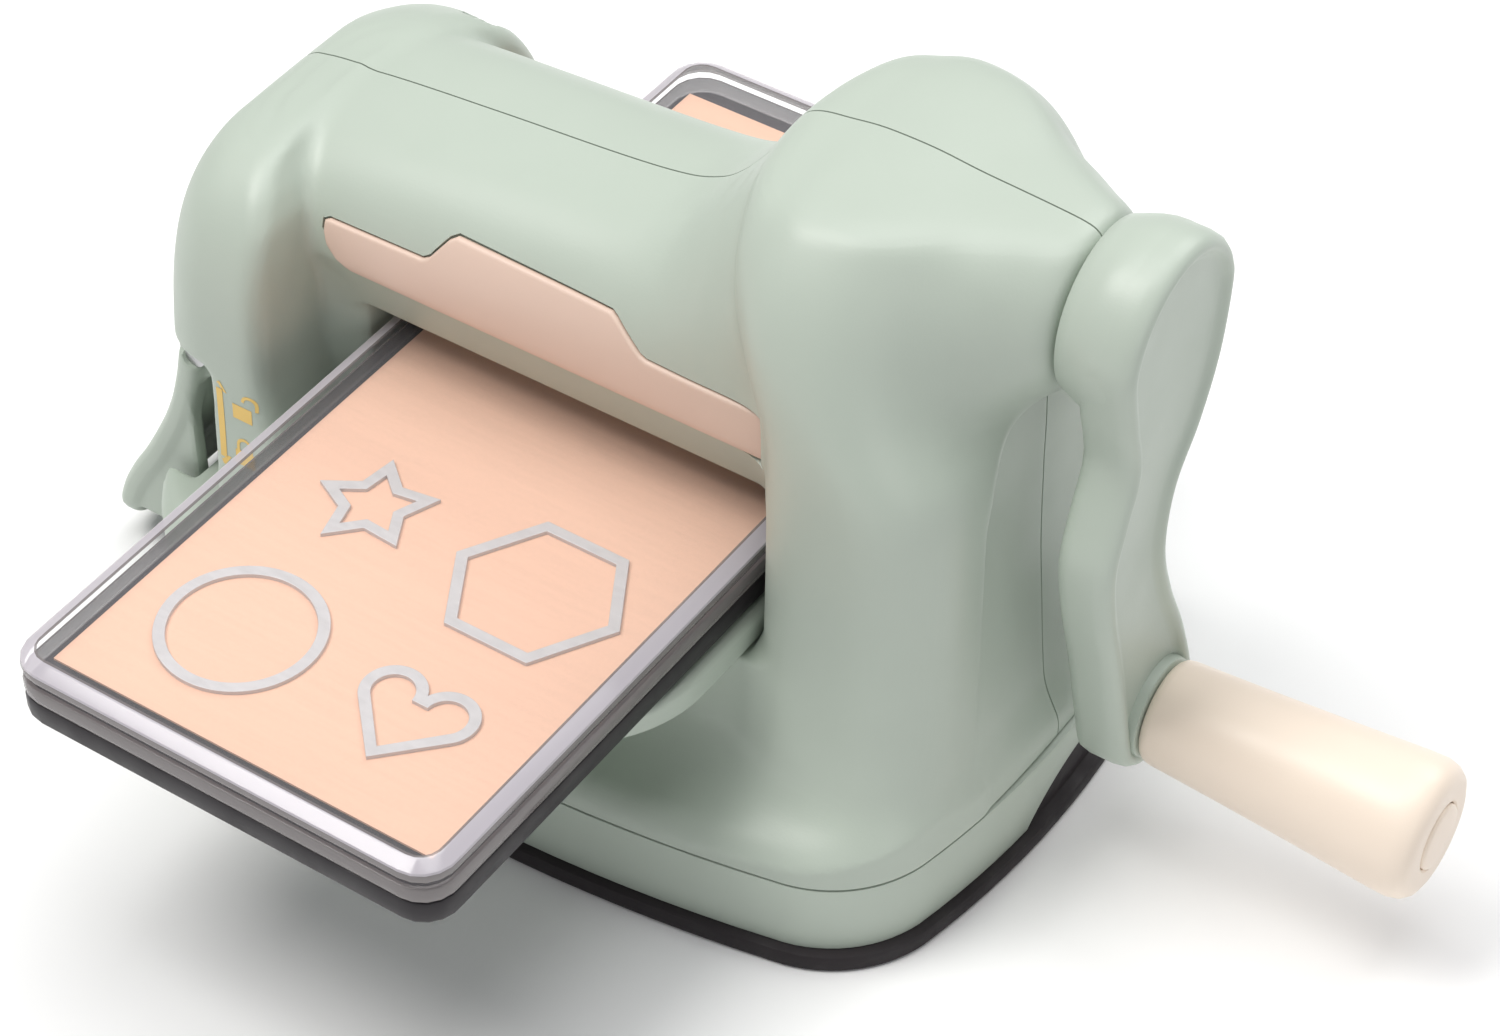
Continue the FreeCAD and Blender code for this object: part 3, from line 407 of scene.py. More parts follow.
def arc3(a: Array, b: Array, c: Array, count: int) -> Array:
    """Points on the circle through three points, without the last.

    Args:
        a: first point.
        b: point on the way.
        c: last point.
        count: number of points.

    Returns:
        Points from a up to c.
    """
    d = 2 * (a[0] * (b[1] - c[1]) + b[0] * (c[1] - a[1]) + c[0] * (a[1] - b[1]))
    squares = [p @ p for p in (a, b, c)]
    ux = (squares[0] * (b[1] - c[1]) + squares[1] * (c[1] - a[1]) + squares[2] * (a[1] - b[1])) / d
    uy = (squares[0] * (c[0] - b[0]) + squares[1] * (a[0] - c[0]) + squares[2] * (b[0] - a[0])) / d
    centre = np.array([ux, uy])
    first, last = (math.atan2(*(p - centre)[::-1]) for p in (a, c))
    sweep = (last - first) % (2 * math.pi)
    if d < 0:
        sweep -= 2 * math.pi
    angles = first + sweep * np.arange(count) / count
    return centre + np.linalg.norm(a - centre) * np.stack([np.cos(angles), np.sin(angles)], 1)


def closed_curve(points: Sequence[tuple[float, float]], count: int) -> Array:
    """Even points on a smooth closed curve through given points.

    Args:
        points: points in order.
        count: number of points on the result.

    Returns:
        Array of count points.
    """
    p = np.array(points, float)
    before, after, beyond = np.roll(p, 1, 0), np.roll(p, -1, 0), np.roll(p, -2, 0)
    dense = []
    for t in np.arange(16) / 16:
        a = -0.5 * t + t ** 2 - 0.5 * t ** 3
        b = 1 - 2.5 * t ** 2 + 1.5 * t ** 3
        c = 0.5 * t + 2 * t ** 2 - 1.5 * t ** 3
        d = -0.5 * t ** 2 + 0.5 * t ** 3
        dense.append(a * before + b * p + c * after + d * beyond)
    return even(np.stack(dense, 1).reshape(-1, 2), count)


def even(loop: Array, count: int) -> Array:
    """Spread points evenly along a closed loop.

    Args:
        loop: points in order.
        count: number of points on the result.

    Returns:
        Array of count points.
    """
    ring = np.vstack([loop, loop[:1]])
    run = np.concatenate([[0.0], np.cumsum(np.linalg.norm(np.diff(ring, axis=0), axis=1))])
    at = np.linspace(0, run[-1], count, endpoint=False)
    return np.stack([np.interp(at, run, ring[:, 0]), np.interp(at, run, ring[:, 1])], 1)


def inset(loop: Array, depth: float) -> Array:
    """Move a closed anticlockwise loop inwards.

    Args:
        loop: points in order.
        depth: distance, or outwards if negative.

    Returns:
        The moved points.
    """
    ahead = np.roll(loop, -1, 0) - loop
    ahead /= np.linalg.norm(ahead, axis=1, keepdims=True)
    along = ahead + np.roll(ahead, 1, 0)
    along /= np.linalg.norm(along, axis=1, keepdims=True)
    return loop + depth * np.stack([-along[:, 1], along[:, 0]], 1)


def stepped(outline: Array, profile: Table, axis: int) -> list[Array]:
    """Loops of points of an outline across an axis, 0 or 2, by pairs of inset and place on that axis."""
    return [np.insert(inset(outline, depth), axis, place, axis=1) for depth, place in profile]


def rounded_rectangle(low: Span, high: Span, radius: float, count: int) -> Array:
    """Anticlockwise rectangle with round corners.

    Args:
        low: lowest corner.
        high: highest corner.
        radius: corner radius.
        count: number of points.

    Returns:
        Array of points.
    """
    corners = [(high[0] - radius, low[1] + radius), (high[0] - radius, high[1] - radius),
               (low[0] + radius, high[1] - radius), (low[0] + radius, low[1] + radius)]
    turn = np.linspace(0, math.pi / 2, 14)
    parts = []
    for k, corner in enumerate(corners):
        angles = turn + (k - 1) * math.pi / 2
        parts.append(np.array(corner) + radius * np.stack([np.cos(angles), np.sin(angles)], 1))
    return even(np.vstack(parts), count)


class MeshMaker:
    """Collects points and faces in millimetres and makes one mesh object."""

    def __init__(self) -> None:
        """Start empty."""
        self.points: list[Array] = []
        self.faces: list[tuple[list[int], int]] = []
        self.count = 0

    def add(self, points: Array) -> int:
        """Add points.

        Args:
            points: array of three columns.

        Returns:
            Index of the first.
        """
        start = self.count
        self.points.append(np.asarray(points, float))
        self.count += len(points)
        return start

    def loft(self, loops: Sequence[Array], caps: bool = True, slots: Optional[Sequence[int]] = None) -> None:
        """Join closed loops of equal length by quads.

        Args:
            loops: loops in order.
            caps: whether the first and the last loop are closed.
            slots: material number of each band; the caps have number 0.
        """
        size = len(loops[0])
        starts = [self.add(loop) for loop in loops]
        numbers = slots or [0] * (len(loops) - 1)
        for a, b, number in zip(starts, starts[1:], numbers):
            for k in range(size):
                n = (k + 1) % size
                self.faces.append(([a + k, a + n, b + n, b + k], number))
        if caps:
            self.faces.append((list(range(starts[0], starts[0] + size))[::-1], 0))
            self.faces.append((list(range(starts[-1], starts[-1] + size)), 0))

    def lathe_x(self, profile: Table, y: float, z: float, count: int = 72) -> None:
        """Turn a profile about an axis along X.

        Args:
            profile: pairs of x and radius; a closed profile repeats its first pair at the end.
            y: the axis' place.
            z: the axis' place.
            count: points round the axis.
        """
        angles = np.linspace(0, 2 * math.pi, count, endpoint=False)
        ring = np.stack([np.cos(angles), np.sin(angles)], 1)
        loops = [np.insert(np.array([y, z]) + r * ring, 0, x, axis=1) for x, r in profile]
        self.loft(loops, caps=profile[0] != profile[-1])

    def object(self, name: str, sharp_deg: float = SHARP_DEG) -> Object:
        """Make the object.

        Args:
            name: name of the object.
            sharp_deg: edges that turn more than this stay sharp.

        Returns:
            The new mesh object.
        """
        mesh = bpy.data.meshes.new(name)
        mesh.from_pydata((np.vstack(self.points) * MM).tolist(), [], [f for f, _ in self.faces])
        mesh.polygons.foreach_set("material_index", [m for _, m in self.faces])
        return finished(name, mesh, sharp_deg)


def finished(name: str, mesh: Mesh, sharp_deg: float = SHARP_DEG) -> Object:
    """Clean a mesh, smooth its shading and link it.

    Args:
        name: name of the object.
        mesh: the mesh.
        sharp_deg: edges that turn more than this stay sharp.

    Returns:
        The new object.
    """
    work = bmesh.new()
    work.from_mesh(mesh)
    bmesh.ops.remove_doubles(work, verts=work.verts, dist=MERGE_M)
    bmesh.ops.recalc_face_normals(work, faces=work.faces)
    limit = math.radians(sharp_deg)
    for face in work.faces:
        face.smooth = True
    for edge in work.edges:
        edge.smooth = len(edge.link_faces) == 2 and edge.calc_face_angle(0.0) < limit
    work.to_mesh(mesh)
    work.free()
    mesh.update()
    obj = bpy.data.objects.new(name, mesh)
    bpy.context.scene.collection.objects.link(obj)
    return obj


def softened(node: str, name: str, width: float, sharp_deg: float = SHARP_DEG,
             shade_deg: float = SHARP_DEG) -> Object:
    """Copy a CAD node's mesh and round its sharp edges.

    Args:
        node: CAD node.
        name: name of the new object.
        width: width of the rounding in millimetres.
        sharp_deg: edges that turn more than this are rounded.
        shade_deg: edges of the result that turn more than this are shaded sharp.

    Returns:
        The new object.
    """
    mesh = frame["nodes"][node].data.copy()
    mesh.materials.clear()
    work = bmesh.new()
    work.from_mesh(mesh)
    bmesh.ops.remove_doubles(work, verts=work.verts, dist=WELD_M)
    bmesh.ops.dissolve_limit(work, angle_limit=math.radians(FLAT_DEG), verts=work.verts, edges=work.edges)
    limit = math.radians(sharp_deg)
    sharp = [e for e in work.edges if len(e.link_faces) == 2 and e.calc_face_angle(0.0) > limit]
    bmesh.ops.bevel(work, geom=sharp, offset=width * MM, segments=2, profile=0.5, affect="EDGES",
                    clamp_overlap=True)
    for face in work.faces:
        face.material_index = 0
    work.to_mesh(mesh)
    work.free()
    mesh.name = name
    return finished(name, mesh, shade_deg)


def dress(obj: Object, finishes: Sequence[Material], body: Body,
          replaced: Sequence[str] = ()) -> Object:
    """Give a piece its materials and tie it to the CAD part.

    Args:
        obj: the piece.
        finishes: its materials, in the order of the faces' numbers.
        body: CAD body it moves with.
        replaced: CAD nodes it stands for.

    Returns:
        The piece.
    """
    for finish in finishes:
        obj.data.materials.append(finish)
    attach(obj, body.value)
    if replaced:
        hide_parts(*replaced)
    log.info("piece %s: %d faces, body %s", obj.name, len(obj.data.polygons), body.value)
    return obj


# Fields: values that are negative inside a form, in millimetres


def overlap(*fields: Array) -> Array:
    """Field of what all the forms share."""
    return reduce(np.maximum, fields)


def rounded(*fields: Array, radius: Value) -> Array:
    """What all forms share, with round edges.

    Args:
        fields: fields of the forms.
        radius: radius of the edges.

    Returns:
        The field of the overlap.
    """
    grown = [field + radius for field in fields]
    outside = sum(np.maximum(field, 0) ** 2 for field in grown)
    return np.sqrt(outside) + np.minimum(overlap(*grown), 0) - radius


def band(values: Array, limits: tuple[Value, Value]) -> Array:
    """Field of the stretch between a lowest and a highest place."""
    low, high = limits
    return np.abs(values - (low + high) / 2) - (high - low) / 2


def smooth_min(a: Array, b: Array, radius: float) -> Array:
    """Union of two forms, with a fillet that reaches as far as the radius."""
    h = np.maximum(radius - np.abs(a - b), 0) / radius
    return np.minimum(a, b) - h * h * (radius * 0.25)


def smooth_cut(a: Array, b: Array, radius: float) -> Array:
    """First form without the second, with edges rounded as far as the radius."""
    return -smooth_min(-a, b, radius)


def settled(field: Array, step: float, least: float = 0.6) -> Array:
    """Field scaled to grow evenly with distance near its surface, for places one step apart."""
    steep = np.sqrt(sum(part ** 2 for part in np.gradient(field, step)))
    return field / np.maximum(steep, least)


def calmed(field: Array, passes: int) -> Array:
    """Field with its small ripples evened out.

    Args:
        field: values at the sample places.
        passes: how often each place is averaged with its neighbours.

    Returns:
        The calm field.
    """
    calm = np.array(field, np.float32)
    for _ in range(passes):
        for axis in range(3):
            line = np.moveaxis(calm, axis, 0)
            line[1:-1] = (line[:-2] + 2 * line[1:-1] + line[2:]) / 4
    return calm


def ramp(values: Array, start: float, stop: float) -> Array:
    """Soft step from 0 at start to 1 at stop."""
    t = np.clip((values - start) / (stop - start), 0, 1)
    return t * t * (3 - 2 * t)


def loop_field(loop: Array, x: Array, y: Array) -> Array:
    """Signed distance to a closed loop in the plane.

    Args:
        loop: points in order.
        x: places on the first axis, as a column.
        y: places on the second axis, as a row.

    Returns:
        Distances, negative inside.
    """
    best = np.full(np.broadcast(x, y).shape, np.inf, np.float32)
    crossed = np.zeros(best.shape, bool)
    for (ax, ay), (bx, by) in zip(loop, np.roll(loop, -1, 0)):
        ex, ey = bx - ax, by - ay
        t = np.clip(((x - ax) * ex + (y - ay) * ey) / (ex * ex + ey * ey), 0, 1)
        best = np.minimum(best, np.hypot(x - ax - t * ex, y - ay - t * ey))
        if ay != by:
            spans = (ay > y) != (by > y)
            crossed ^= spans & (x < ex * (y - ay) / ey + ax)
    return np.where(crossed, -best, best)


@dataclass
class Volume:
    """Box of sample places for a field."""

    low: Triple
    high: Triple
    step: float

    def places(self) -> Places:
        """Sample places.

        Returns:
            Open grids of x, y and z.
        """
        step = self.step
        lines = [np.arange(a, b + step, step, dtype=np.float32) for a, b in zip(self.low, self.high)]
        return np.ix_(*lines)

    def mesh(self, name: str, values: Array) -> Mesh:
        """Surface where a field is zero.

        Args:
            name: name of the mesh.
            values: the field at the sample places.

        Returns:
            The mesh, in metres.
        """
        grid = openvdb.FloatGrid(float(values.max()))
        grid.copyFromArray(np.ascontiguousarray(values, np.float32))
        points, quads = grid.convertToQuads(0.0)
        mesh = bpy.data.meshes.new(name)
        places = (np.asarray(points, float) * self.step + np.array(self.low)) * MM
        mesh.from_pydata(places.tolist(), [], np.asarray(quads).tolist())
        return mesh


# Sub-assemblies


@dataclass
class BaseOutline:
    """Outline of the base: bowed sides and round corners."""

    half_x: float = 79.5
    half_y: float = 57.6
    reach_x: float = 58.0
    reach_y: float = 36.0
    front_sag: float = 6.0
    side_sag: float = 4.05
    corner_bow: float = 0.147
    side_points: int = 40
    corner_points: int = 30

    def loop(self) -> Array:
        """Points of the outline.

        Returns:
            Anticlockwise points.
        """
        front_y, side_x = self.front_sag - self.half_y, self.half_x - self.side_sag
        front = [(-self.reach_x, front_y), (0, -self.half_y), (self.reach_x, front_y)]
        right = [(side_x, -self.reach_y), (self.half_x, 0), (side_x, self.reach_y)]
        sides = [np.array(side, float) for side in (front, right)]
        sides += [-side for side in sides]
        parts = []
        for side, following in zip(sides, sides[1:] + sides[:1]):
            a, b = side[2], following[0]
            bow = np.array([b[1] - a[1], a[0] - b[0]]) * self.corner_bow
            parts.append(arc3(*side, self.side_points))
            parts.append(arc3(a, (a + b) / 2 + bow, b, self.corner_points))
        return np.vstack(parts)


@dataclass
class Hood:
    """Bridge over the feed passage: a full round top on leaning sides."""

    half_y: float = 25.5
    middle_z: float = 77.0
    lip_y: float = 21.5
    lip_z: float = 66.0
    fullness: float = 2.4
    top: Table = ((-70, 90.0), (-62, 92.6), (-50, 95.2), (-29, 97.3), (-2, 99.6), (8, 101.1), (14, 103.2),
                  (18, 106.4), (22, 111.0), (26, 115.5), (30, 117.0), (36, 115.0), (50, 105.0))

    def slope(self) -> float:
        """Sideways lean of the sides for each millimetre of height."""
        return (self.half_y - self.lip_y) / (self.middle_z - self.lip_z)

    def field(self, at: Places) -> Array:
        """Field of the bridge, without ends.

        Args:
            at: sample places.

        Returns:
            The field.
        """
        x, y, z = at
        height = through(self.top, x) - self.middle_z
        rise = np.maximum(z - self.middle_z, 0)
        n = self.fullness
        ratio = ((np.abs(y) / self.half_y) ** n + (rise / height) ** n) ** (1 / n)
        crown = (ratio - 1) * self.half_y
        side = np.abs(y) - self.half_y + self.slope() * (self.middle_z - z)
        return np.where(z > self.middle_z, crown, side)

    def front(self, x: Array, z: Array, offset: Value) -> Array:
        """Points on the bridge's front.

        Args:
            x: places along the bridge.
            z: heights.
            offset: distance out of the surface.

        Returns:
            Array of points.
        """
        height = through(self.top, x) - self.middle_z
        n = self.fullness
        rise = np.clip((z - self.middle_z) / height, 0, 0.999)
        depth = self.half_y * (1 - rise ** n) ** (1 / n)
        depth = depth - self.slope() * np.maximum(self.middle_z - z, 0)
        normal_y = (depth / self.half_y) ** (n - 1) / self.half_y
        normal_z = np.where(rise > 0, rise ** (n - 1) / height, -self.slope() / self.half_y)
        size = np.hypot(normal_y, normal_z)
        return np.stack([x, -depth - offset * normal_y / size, z + offset * normal_z / size], 1)


@dataclass
class Pillar:
    """One pillar: rounded rectangles whose sides change with height, closed by a round top.

    The setback moves the right side back, except beside the feed passage and at the foot.
    """

    sides: tuple[Table, Table]
    depth: Table
    corners: tuple[float, float]
    shoulder_z: float
    top: Table
    fullness: tuple[float, float]
    setback: float = 0.0
    setback_y: Span = (20.0, 25.0)
    setback_foot_z: Span = (32.0, 60.0)
    setback_top_z: Span = (67.0, 74.0)
    largest_corner: float = 0.48

    def field(self, at: Places) -> Array:
        """Field of the pillar.

        Args:
            at: sample places.

        Returns:
            The field.
        """
        x, y, z = at
        back = np.maximum(ramp(np.abs(y), *self.setback_y), ramp(z, *self.setback_top_z))
        back = back * ramp(z, *self.setback_foot_z)
        x0, x1 = through(self.sides[0], z), through(self.sides[1], z) - self.setback * back
        rise = np.clip((z - self.shoulder_z) / (through(self.top, x) - self.shoulder_z), 0, 1)
        n = np.where(y < 0, *self.fullness).astype(np.float32)
        depth = through(self.depth, z) * np.maximum(1 - rise ** n, 0) ** (1 / n)
        radius = np.where(x < (x0 + x1) / 2, *self.corners).astype(np.float32)
        radius = np.minimum(np.minimum(radius, self.largest_corner * (x1 - x0)), depth)
        flat = rounded(band(x, (x0, x1)), np.abs(y) - depth, radius=radius)
        return np.maximum(flat, z - through(self.top, x))


RIGHT_PILLAR = Pillar(
    sides=(((17, 39.5), (22, 40.5), (28, 41.6), (40, 42), (74, 42), (82, 42), (90, 41.4), (96, 39.8),
            (102, 37.2), (108, 34.4), (114, 31.8), (120, 29), (126, 27)),
           ((17, 77.8), (22, 76.4), (28, 75.6), (40, 75.2), (80, 75), (86, 74), (92, 70.5), (98, 66),
            (104, 62), (110, 58.5), (117, 55), (126, 51))),
    depth=((17, 49.5), (22, 45.5), (28, 42), (40, 39.3), (56, 38.3), (74, 38), (90, 38)),
    corners=(11.0, 13.5),
    shoulder_z=80.0,
    top=((20, 121), (26, 122.6), (34, 124.2), (44, 125.0), (56, 124.7), (66, 122.5), (78, 117)),
    fullness=(2.7, 2.9))

LEFT_PILLAR = Pillar(
    sides=(((17, -77.8), (22, -76.4), (28, -75.2), (38, -74.2), (52, -73.2), (64, -72), (74, -71.2),
            (84, -70.6), (90.5, -69), (93.5, -66.6), (96, -63)),
           ((17, -39.5), (22, -40.5), (28, -41.6), (38, -42), (62, -42), (74, -42.3), (84, -43),
            (88, -44.5), (91, -46.5), (93.5, -48.5), (96, -51.5))),
    depth=((17, 49.5), (22, 46), (28, 43.5), (38, 42), (52, 41.2), (60, 41)),
    corners=(13.0, 3.6),
    shoulder_z=52.0,
    top=((-78, 88), (-70, 92.4), (-62, 94.4), (-54, 95.4), (-44, 96.2)),
    fullness=(3.6, 2.5),
    setback=6.5)


@dataclass
class Housing:
    """Crank housing on the right pillar, which narrows to the round joint of the crank."""

    crank_z: float
    start_x: float = 38.0
    joint_x: float = 79.8
    joint_r: float = 13.8
    half_y: Table = ((38, 24), (46, 29), (52, 28.8), (58, 26.5), (64, 22.6), (70, 19), (75, 16))
    low: Table = ((38, 92), (50, 84), (60, 85), (70, 91))
    high: Table = ((38, 119), (44, 123.5), (52, 124.7), (60, 124.7), (70, 124.1))
    corner: Table = ((38, 19), (60, 19), (70, 16))

    def field(self, at: Places) -> Array:
        """Field of the housing.

        Args:
            at: sample places.

        Returns:
            The field.
        """
        x, y, z = at
        end, r = self.joint_x, self.joint_r
        ends = ((self.half_y, r), (self.low, self.crank_z - r), (self.high, self.crank_z + r),
                (self.corner, r))
        half_y, low, high, corner = (through((*table, (end, last)), x) for table, last in ends)
        radius = np.minimum(corner, np.minimum(half_y, (high - low) / 2))
        flat = rounded(np.abs(y) - half_y, band(z, (low, high)), radius=radius)
        return overlap(flat, x - end, self.start_x - x)


@dataclass
class Casing:
    """Two-part casing with pillars, bridge, crank housing, lever pocket and niche."""

    outline: BaseOutline
    hood: Hood
    low: Triple = (-83.0, -62.0, 11.0)
    high: Triple = (84.0, 62.0, 128.0)
    step: float = 0.8
    wall: float = 2.6
    roof_steps: int = 4
    gap: float = 0.16
    seam_z: float = 17.0
    seam_gap: float = 0.5
    edge_round: float = 3.0
    ridge: Table = ((-80, 86), (-70, 92.2), (-62, 94.4), (-50, 95.7), (-29, 97.6), (-2, 99.9), (8, 101.5),
                    (14, 104.4), (18, 108), (22, 114), (27, 122), (34, 124.2), (44, 125), (56, 124.7),
                    (66, 124.2), (79.8, 123.4))
    base_top_z: float = 22.0
    base_round: float = 5.0
    base_fillet: float = 9.0
    skirt_z: float = 40.0
    pedestal_x: float = 47.0
    pedestal_y: Table = ((17, 49), (24, 41), (31, 37.5), (44, 36))
    pedestal_round: float = 4.0
    pedestal_fillet: float = 5.0
    bridge_x: Span = (-68.0, 48.0)
    bridge_fillet: float = 9.0
    left_fillet: float = 2.2
    housing_fillet: float = 10.0
    housing_calm: int = 10
    passage_x: float = 42.0
    passage_z: Span = (44.0, 66.0)
    passage_round: float = 0.6
    hollow_x: float = 69.9
    crank_z: float = 109.3
    crank_bore_r: float = 7.6
    crank_bore_x: float = 66.0
    pinion_x: Span = (55.6, 62.4)
    pinion_r: float = 11.0
    niche_r: float = 19.0
    niche_z: float = 73.0
    niche_face: Table = ((20, 79), (30, 76.2), (45, 74.2), (60, 72.9), (75, 72.5))
    screws: Table = ((38.5, 112.0), (60.0, 21.0), (-55.2, 85.5), (-55.2, 24.0))
    boss_r: float = 5.0
    well_r: float = 3.2
    well_y: float = 12.0
    shafts: Sequence[float] = (73.3, 38.8)
    bore_r: float = 6.5
    bore_x: float = 50.0
    pocket_x: float = -59.5
    pocket_z: Span = (26.0, 57.5)
    pocket_wall: float = 1.5
    pocket_roof: float = 2.5
    pocket_reach: float = 80.0
    pocket_corner: float = 2.5
    pocket_edge: float = 1.2
    recess_x: float = -69.0
    recess_y: float = 37.3
    recess_rise: float = 3.0
    cam_room_y: float = 8.0
    rib_x: float = -71.5
    rib_y: Span = (9.0, 11.5)
    rib_z: float = 48.5

    def field(self, at: Places) -> Array:
        """Field of the hollow casing.

        Args:
            at: sample places.

        Returns:
            The field.
        """
        x, y, z = at
        plan = loop_field(self.outline.loop(), x[:, :, 0], y[:, :, 0])[:, :, None]
        base = rounded(plan, z - self.base_top_z, radius=self.base_round)
        pedestal = rounded(np.abs(x) - self.pedestal_x, np.abs(y) - through(self.pedestal_y, z),
                           radius=self.pedestal_round)
        pedestal = np.maximum(pedestal, z - self.passage_z[0])
        bridge = overlap(self.hood.field(at), band(x, self.bridge_x), self.passage_z[1] - z)
        forms = (RIGHT_PILLAR.field(at), Housing(self.crank_z).field(at), bridge, LEFT_PILLAR.field(at))
        right, housing, bridge, left = (settled(form, self.step) for form in forms)
        form = calmed(smooth_min(right, housing, self.housing_fillet), self.housing_calm)
        for part, fillet in ((bridge, self.bridge_fillet), (left, self.left_fillet),
                             (pedestal, self.pedestal_fillet), (base, self.base_fillet)):
            form = smooth_min(form, part, fillet)
        form = np.where(z < self.skirt_z, np.maximum(form, plan), form)
        form = smooth_cut(form, through(self.ridge, x) - z, self.edge_round)
        spring = self.niche_z
        arch = np.where(z > spring, np.hypot(y, z - spring), np.abs(y)) - self.niche_r
        niche = np.maximum(arch, through(self.niche_face, z) - x)
        form = smooth_cut(form, niche, self.edge_round)
        return self.opened(self.hollowed(form, at), at)

    def hollowed(self, form: Array, at: Places) -> Array:
        """Take the inside out of a field; walls and screw bosses stay.

        Args:
            form: field to hollow.
            at: sample places.

        Returns:
            The hollow field.
        """
        x, y, z = at
        pocket = np.maximum(x - self.pocket_x - self.pocket_wall, z - self.pocket_z[1] - self.pocket_roof)
        shift = self.roof_steps
        raised = np.concatenate([form[:, :, shift:], form[:, :, -1:].repeat(shift, axis=2)], axis=2)
        hollow = overlap(np.maximum(form, raised) + self.wall, -pocket, x - self.hollow_x)
        for sx, sz in self.screws:
            hollow = np.maximum(hollow, self.boss_r - np.hypot(x - sx, z - sz))
        pinion = np.maximum(np.hypot(y, z - self.crank_z) - self.pinion_r, band(x, self.pinion_x))
        return np.maximum(form, -np.minimum(hollow, pinion))

    def opened(self, shell: Array, at: Places) -> Array:
        """Open the passage, the lever's pocket, and the shaft and screw holes in a field.

        Args:
            shell: field to open.
            at: sample places.

        Returns:
            The cut field.
        """
        x, y, z = at
        passage = rounded(np.abs(x) - self.passage_x, band(z, self.passage_z), radius=self.passage_round)
        shell = np.maximum(shell, -passage)
        window_x = (self.pocket_x - self.pocket_reach, self.pocket_x)
        window = rounded(band(x, window_x), band(z, self.pocket_z), radius=self.pocket_corner)
        inner_x = np.where(np.abs(y) < self.cam_room_y, self.pocket_x, self.recess_x)
        top_z = self.pocket_z[0] + self.recess_rise
        recess = overlap(x - inner_x, np.abs(y) - self.recess_y, z - top_z)
        rib = overlap(band(np.abs(y), self.rib_y), self.rib_x - x, self.rib_z - z)
        shell = smooth_cut(shell, np.maximum(np.minimum(window, recess), -rib), self.pocket_edge)
        for sz in self.shafts:
            bore = np.maximum(np.hypot(y, z - sz) - self.bore_r, np.abs(x) - self.bore_x)
            shell = np.maximum(shell, -bore)
        for sx, sz in self.screws:
            well = np.maximum(np.hypot(x - sx, z - sz) - self.well_r, self.well_y - y)
            shell = np.maximum(shell, -well)
        crank = np.maximum(np.hypot(y, z - self.crank_z) - self.crank_bore_r, self.crank_bore_x - x)
        return np.maximum(shell, -crank)

    def build(self, pocket: Object) -> tuple[Object, Object]:
        """Make the two halves.

        Args:
            pocket: form that is cut from the front for the trim; it is removed afterwards.

        Returns:
            Front half and rear half.
        """
        volume = Volume(self.low, self.high, self.step)
        whole = finished("casing_whole", volume.mesh("casing", self.field(volume.places())))
        cutter = whole.modifiers.new("trim_pocket", "BOOLEAN")
        cutter.operation = "DIFFERENCE"
        cutter.object = pocket
        graph = bpy.context.evaluated_depsgraph_get()
        cut = bpy.data.meshes.new_from_object(whole.evaluated_get(graph))
        front, rear = self.half(cut, "front_casing", -1), self.half(cut, "rear_casing", 1)
        for obj in (whole, pocket):
            bpy.data.objects.remove(obj)
        return front, rear

    def half(self, mesh: Mesh, name: str, side: int) -> Object:
        """Cut one half out of the whole casing.

        Args:
            mesh: the whole casing.
            name: name of the half.
            side: -1 for the front, 1 for the rear.

        Returns:
            The half.
        """
        work = bmesh.new()
        work.from_mesh(mesh)
        seam = ((0, side * self.gap, 0), (0, -side, 0))
        foot = ((0, 0, self.seam_z + self.seam_gap), (0, 0, -1))
        for place, normal in (seam, foot):
            everything = work.verts[:] + work.edges[:] + work.faces[:]
            cut = bmesh.ops.bisect_plane(work, geom=everything, dist=MERGE_M, plane_co=Vector(place) * MM,
                                         plane_no=normal, clear_outer=True)
            rim = [g for g in cut["geom_cut"] if isinstance(g, bmesh.types.BMEdge)]
            bmesh.ops.triangle_fill(work, use_beauty=False, use_dissolve=False, edges=rim)
        half = bpy.data.meshes.new("casing_half")
        work.to_mesh(half)
        work.free()
        return finished(name, half, sharp_deg=42.0)


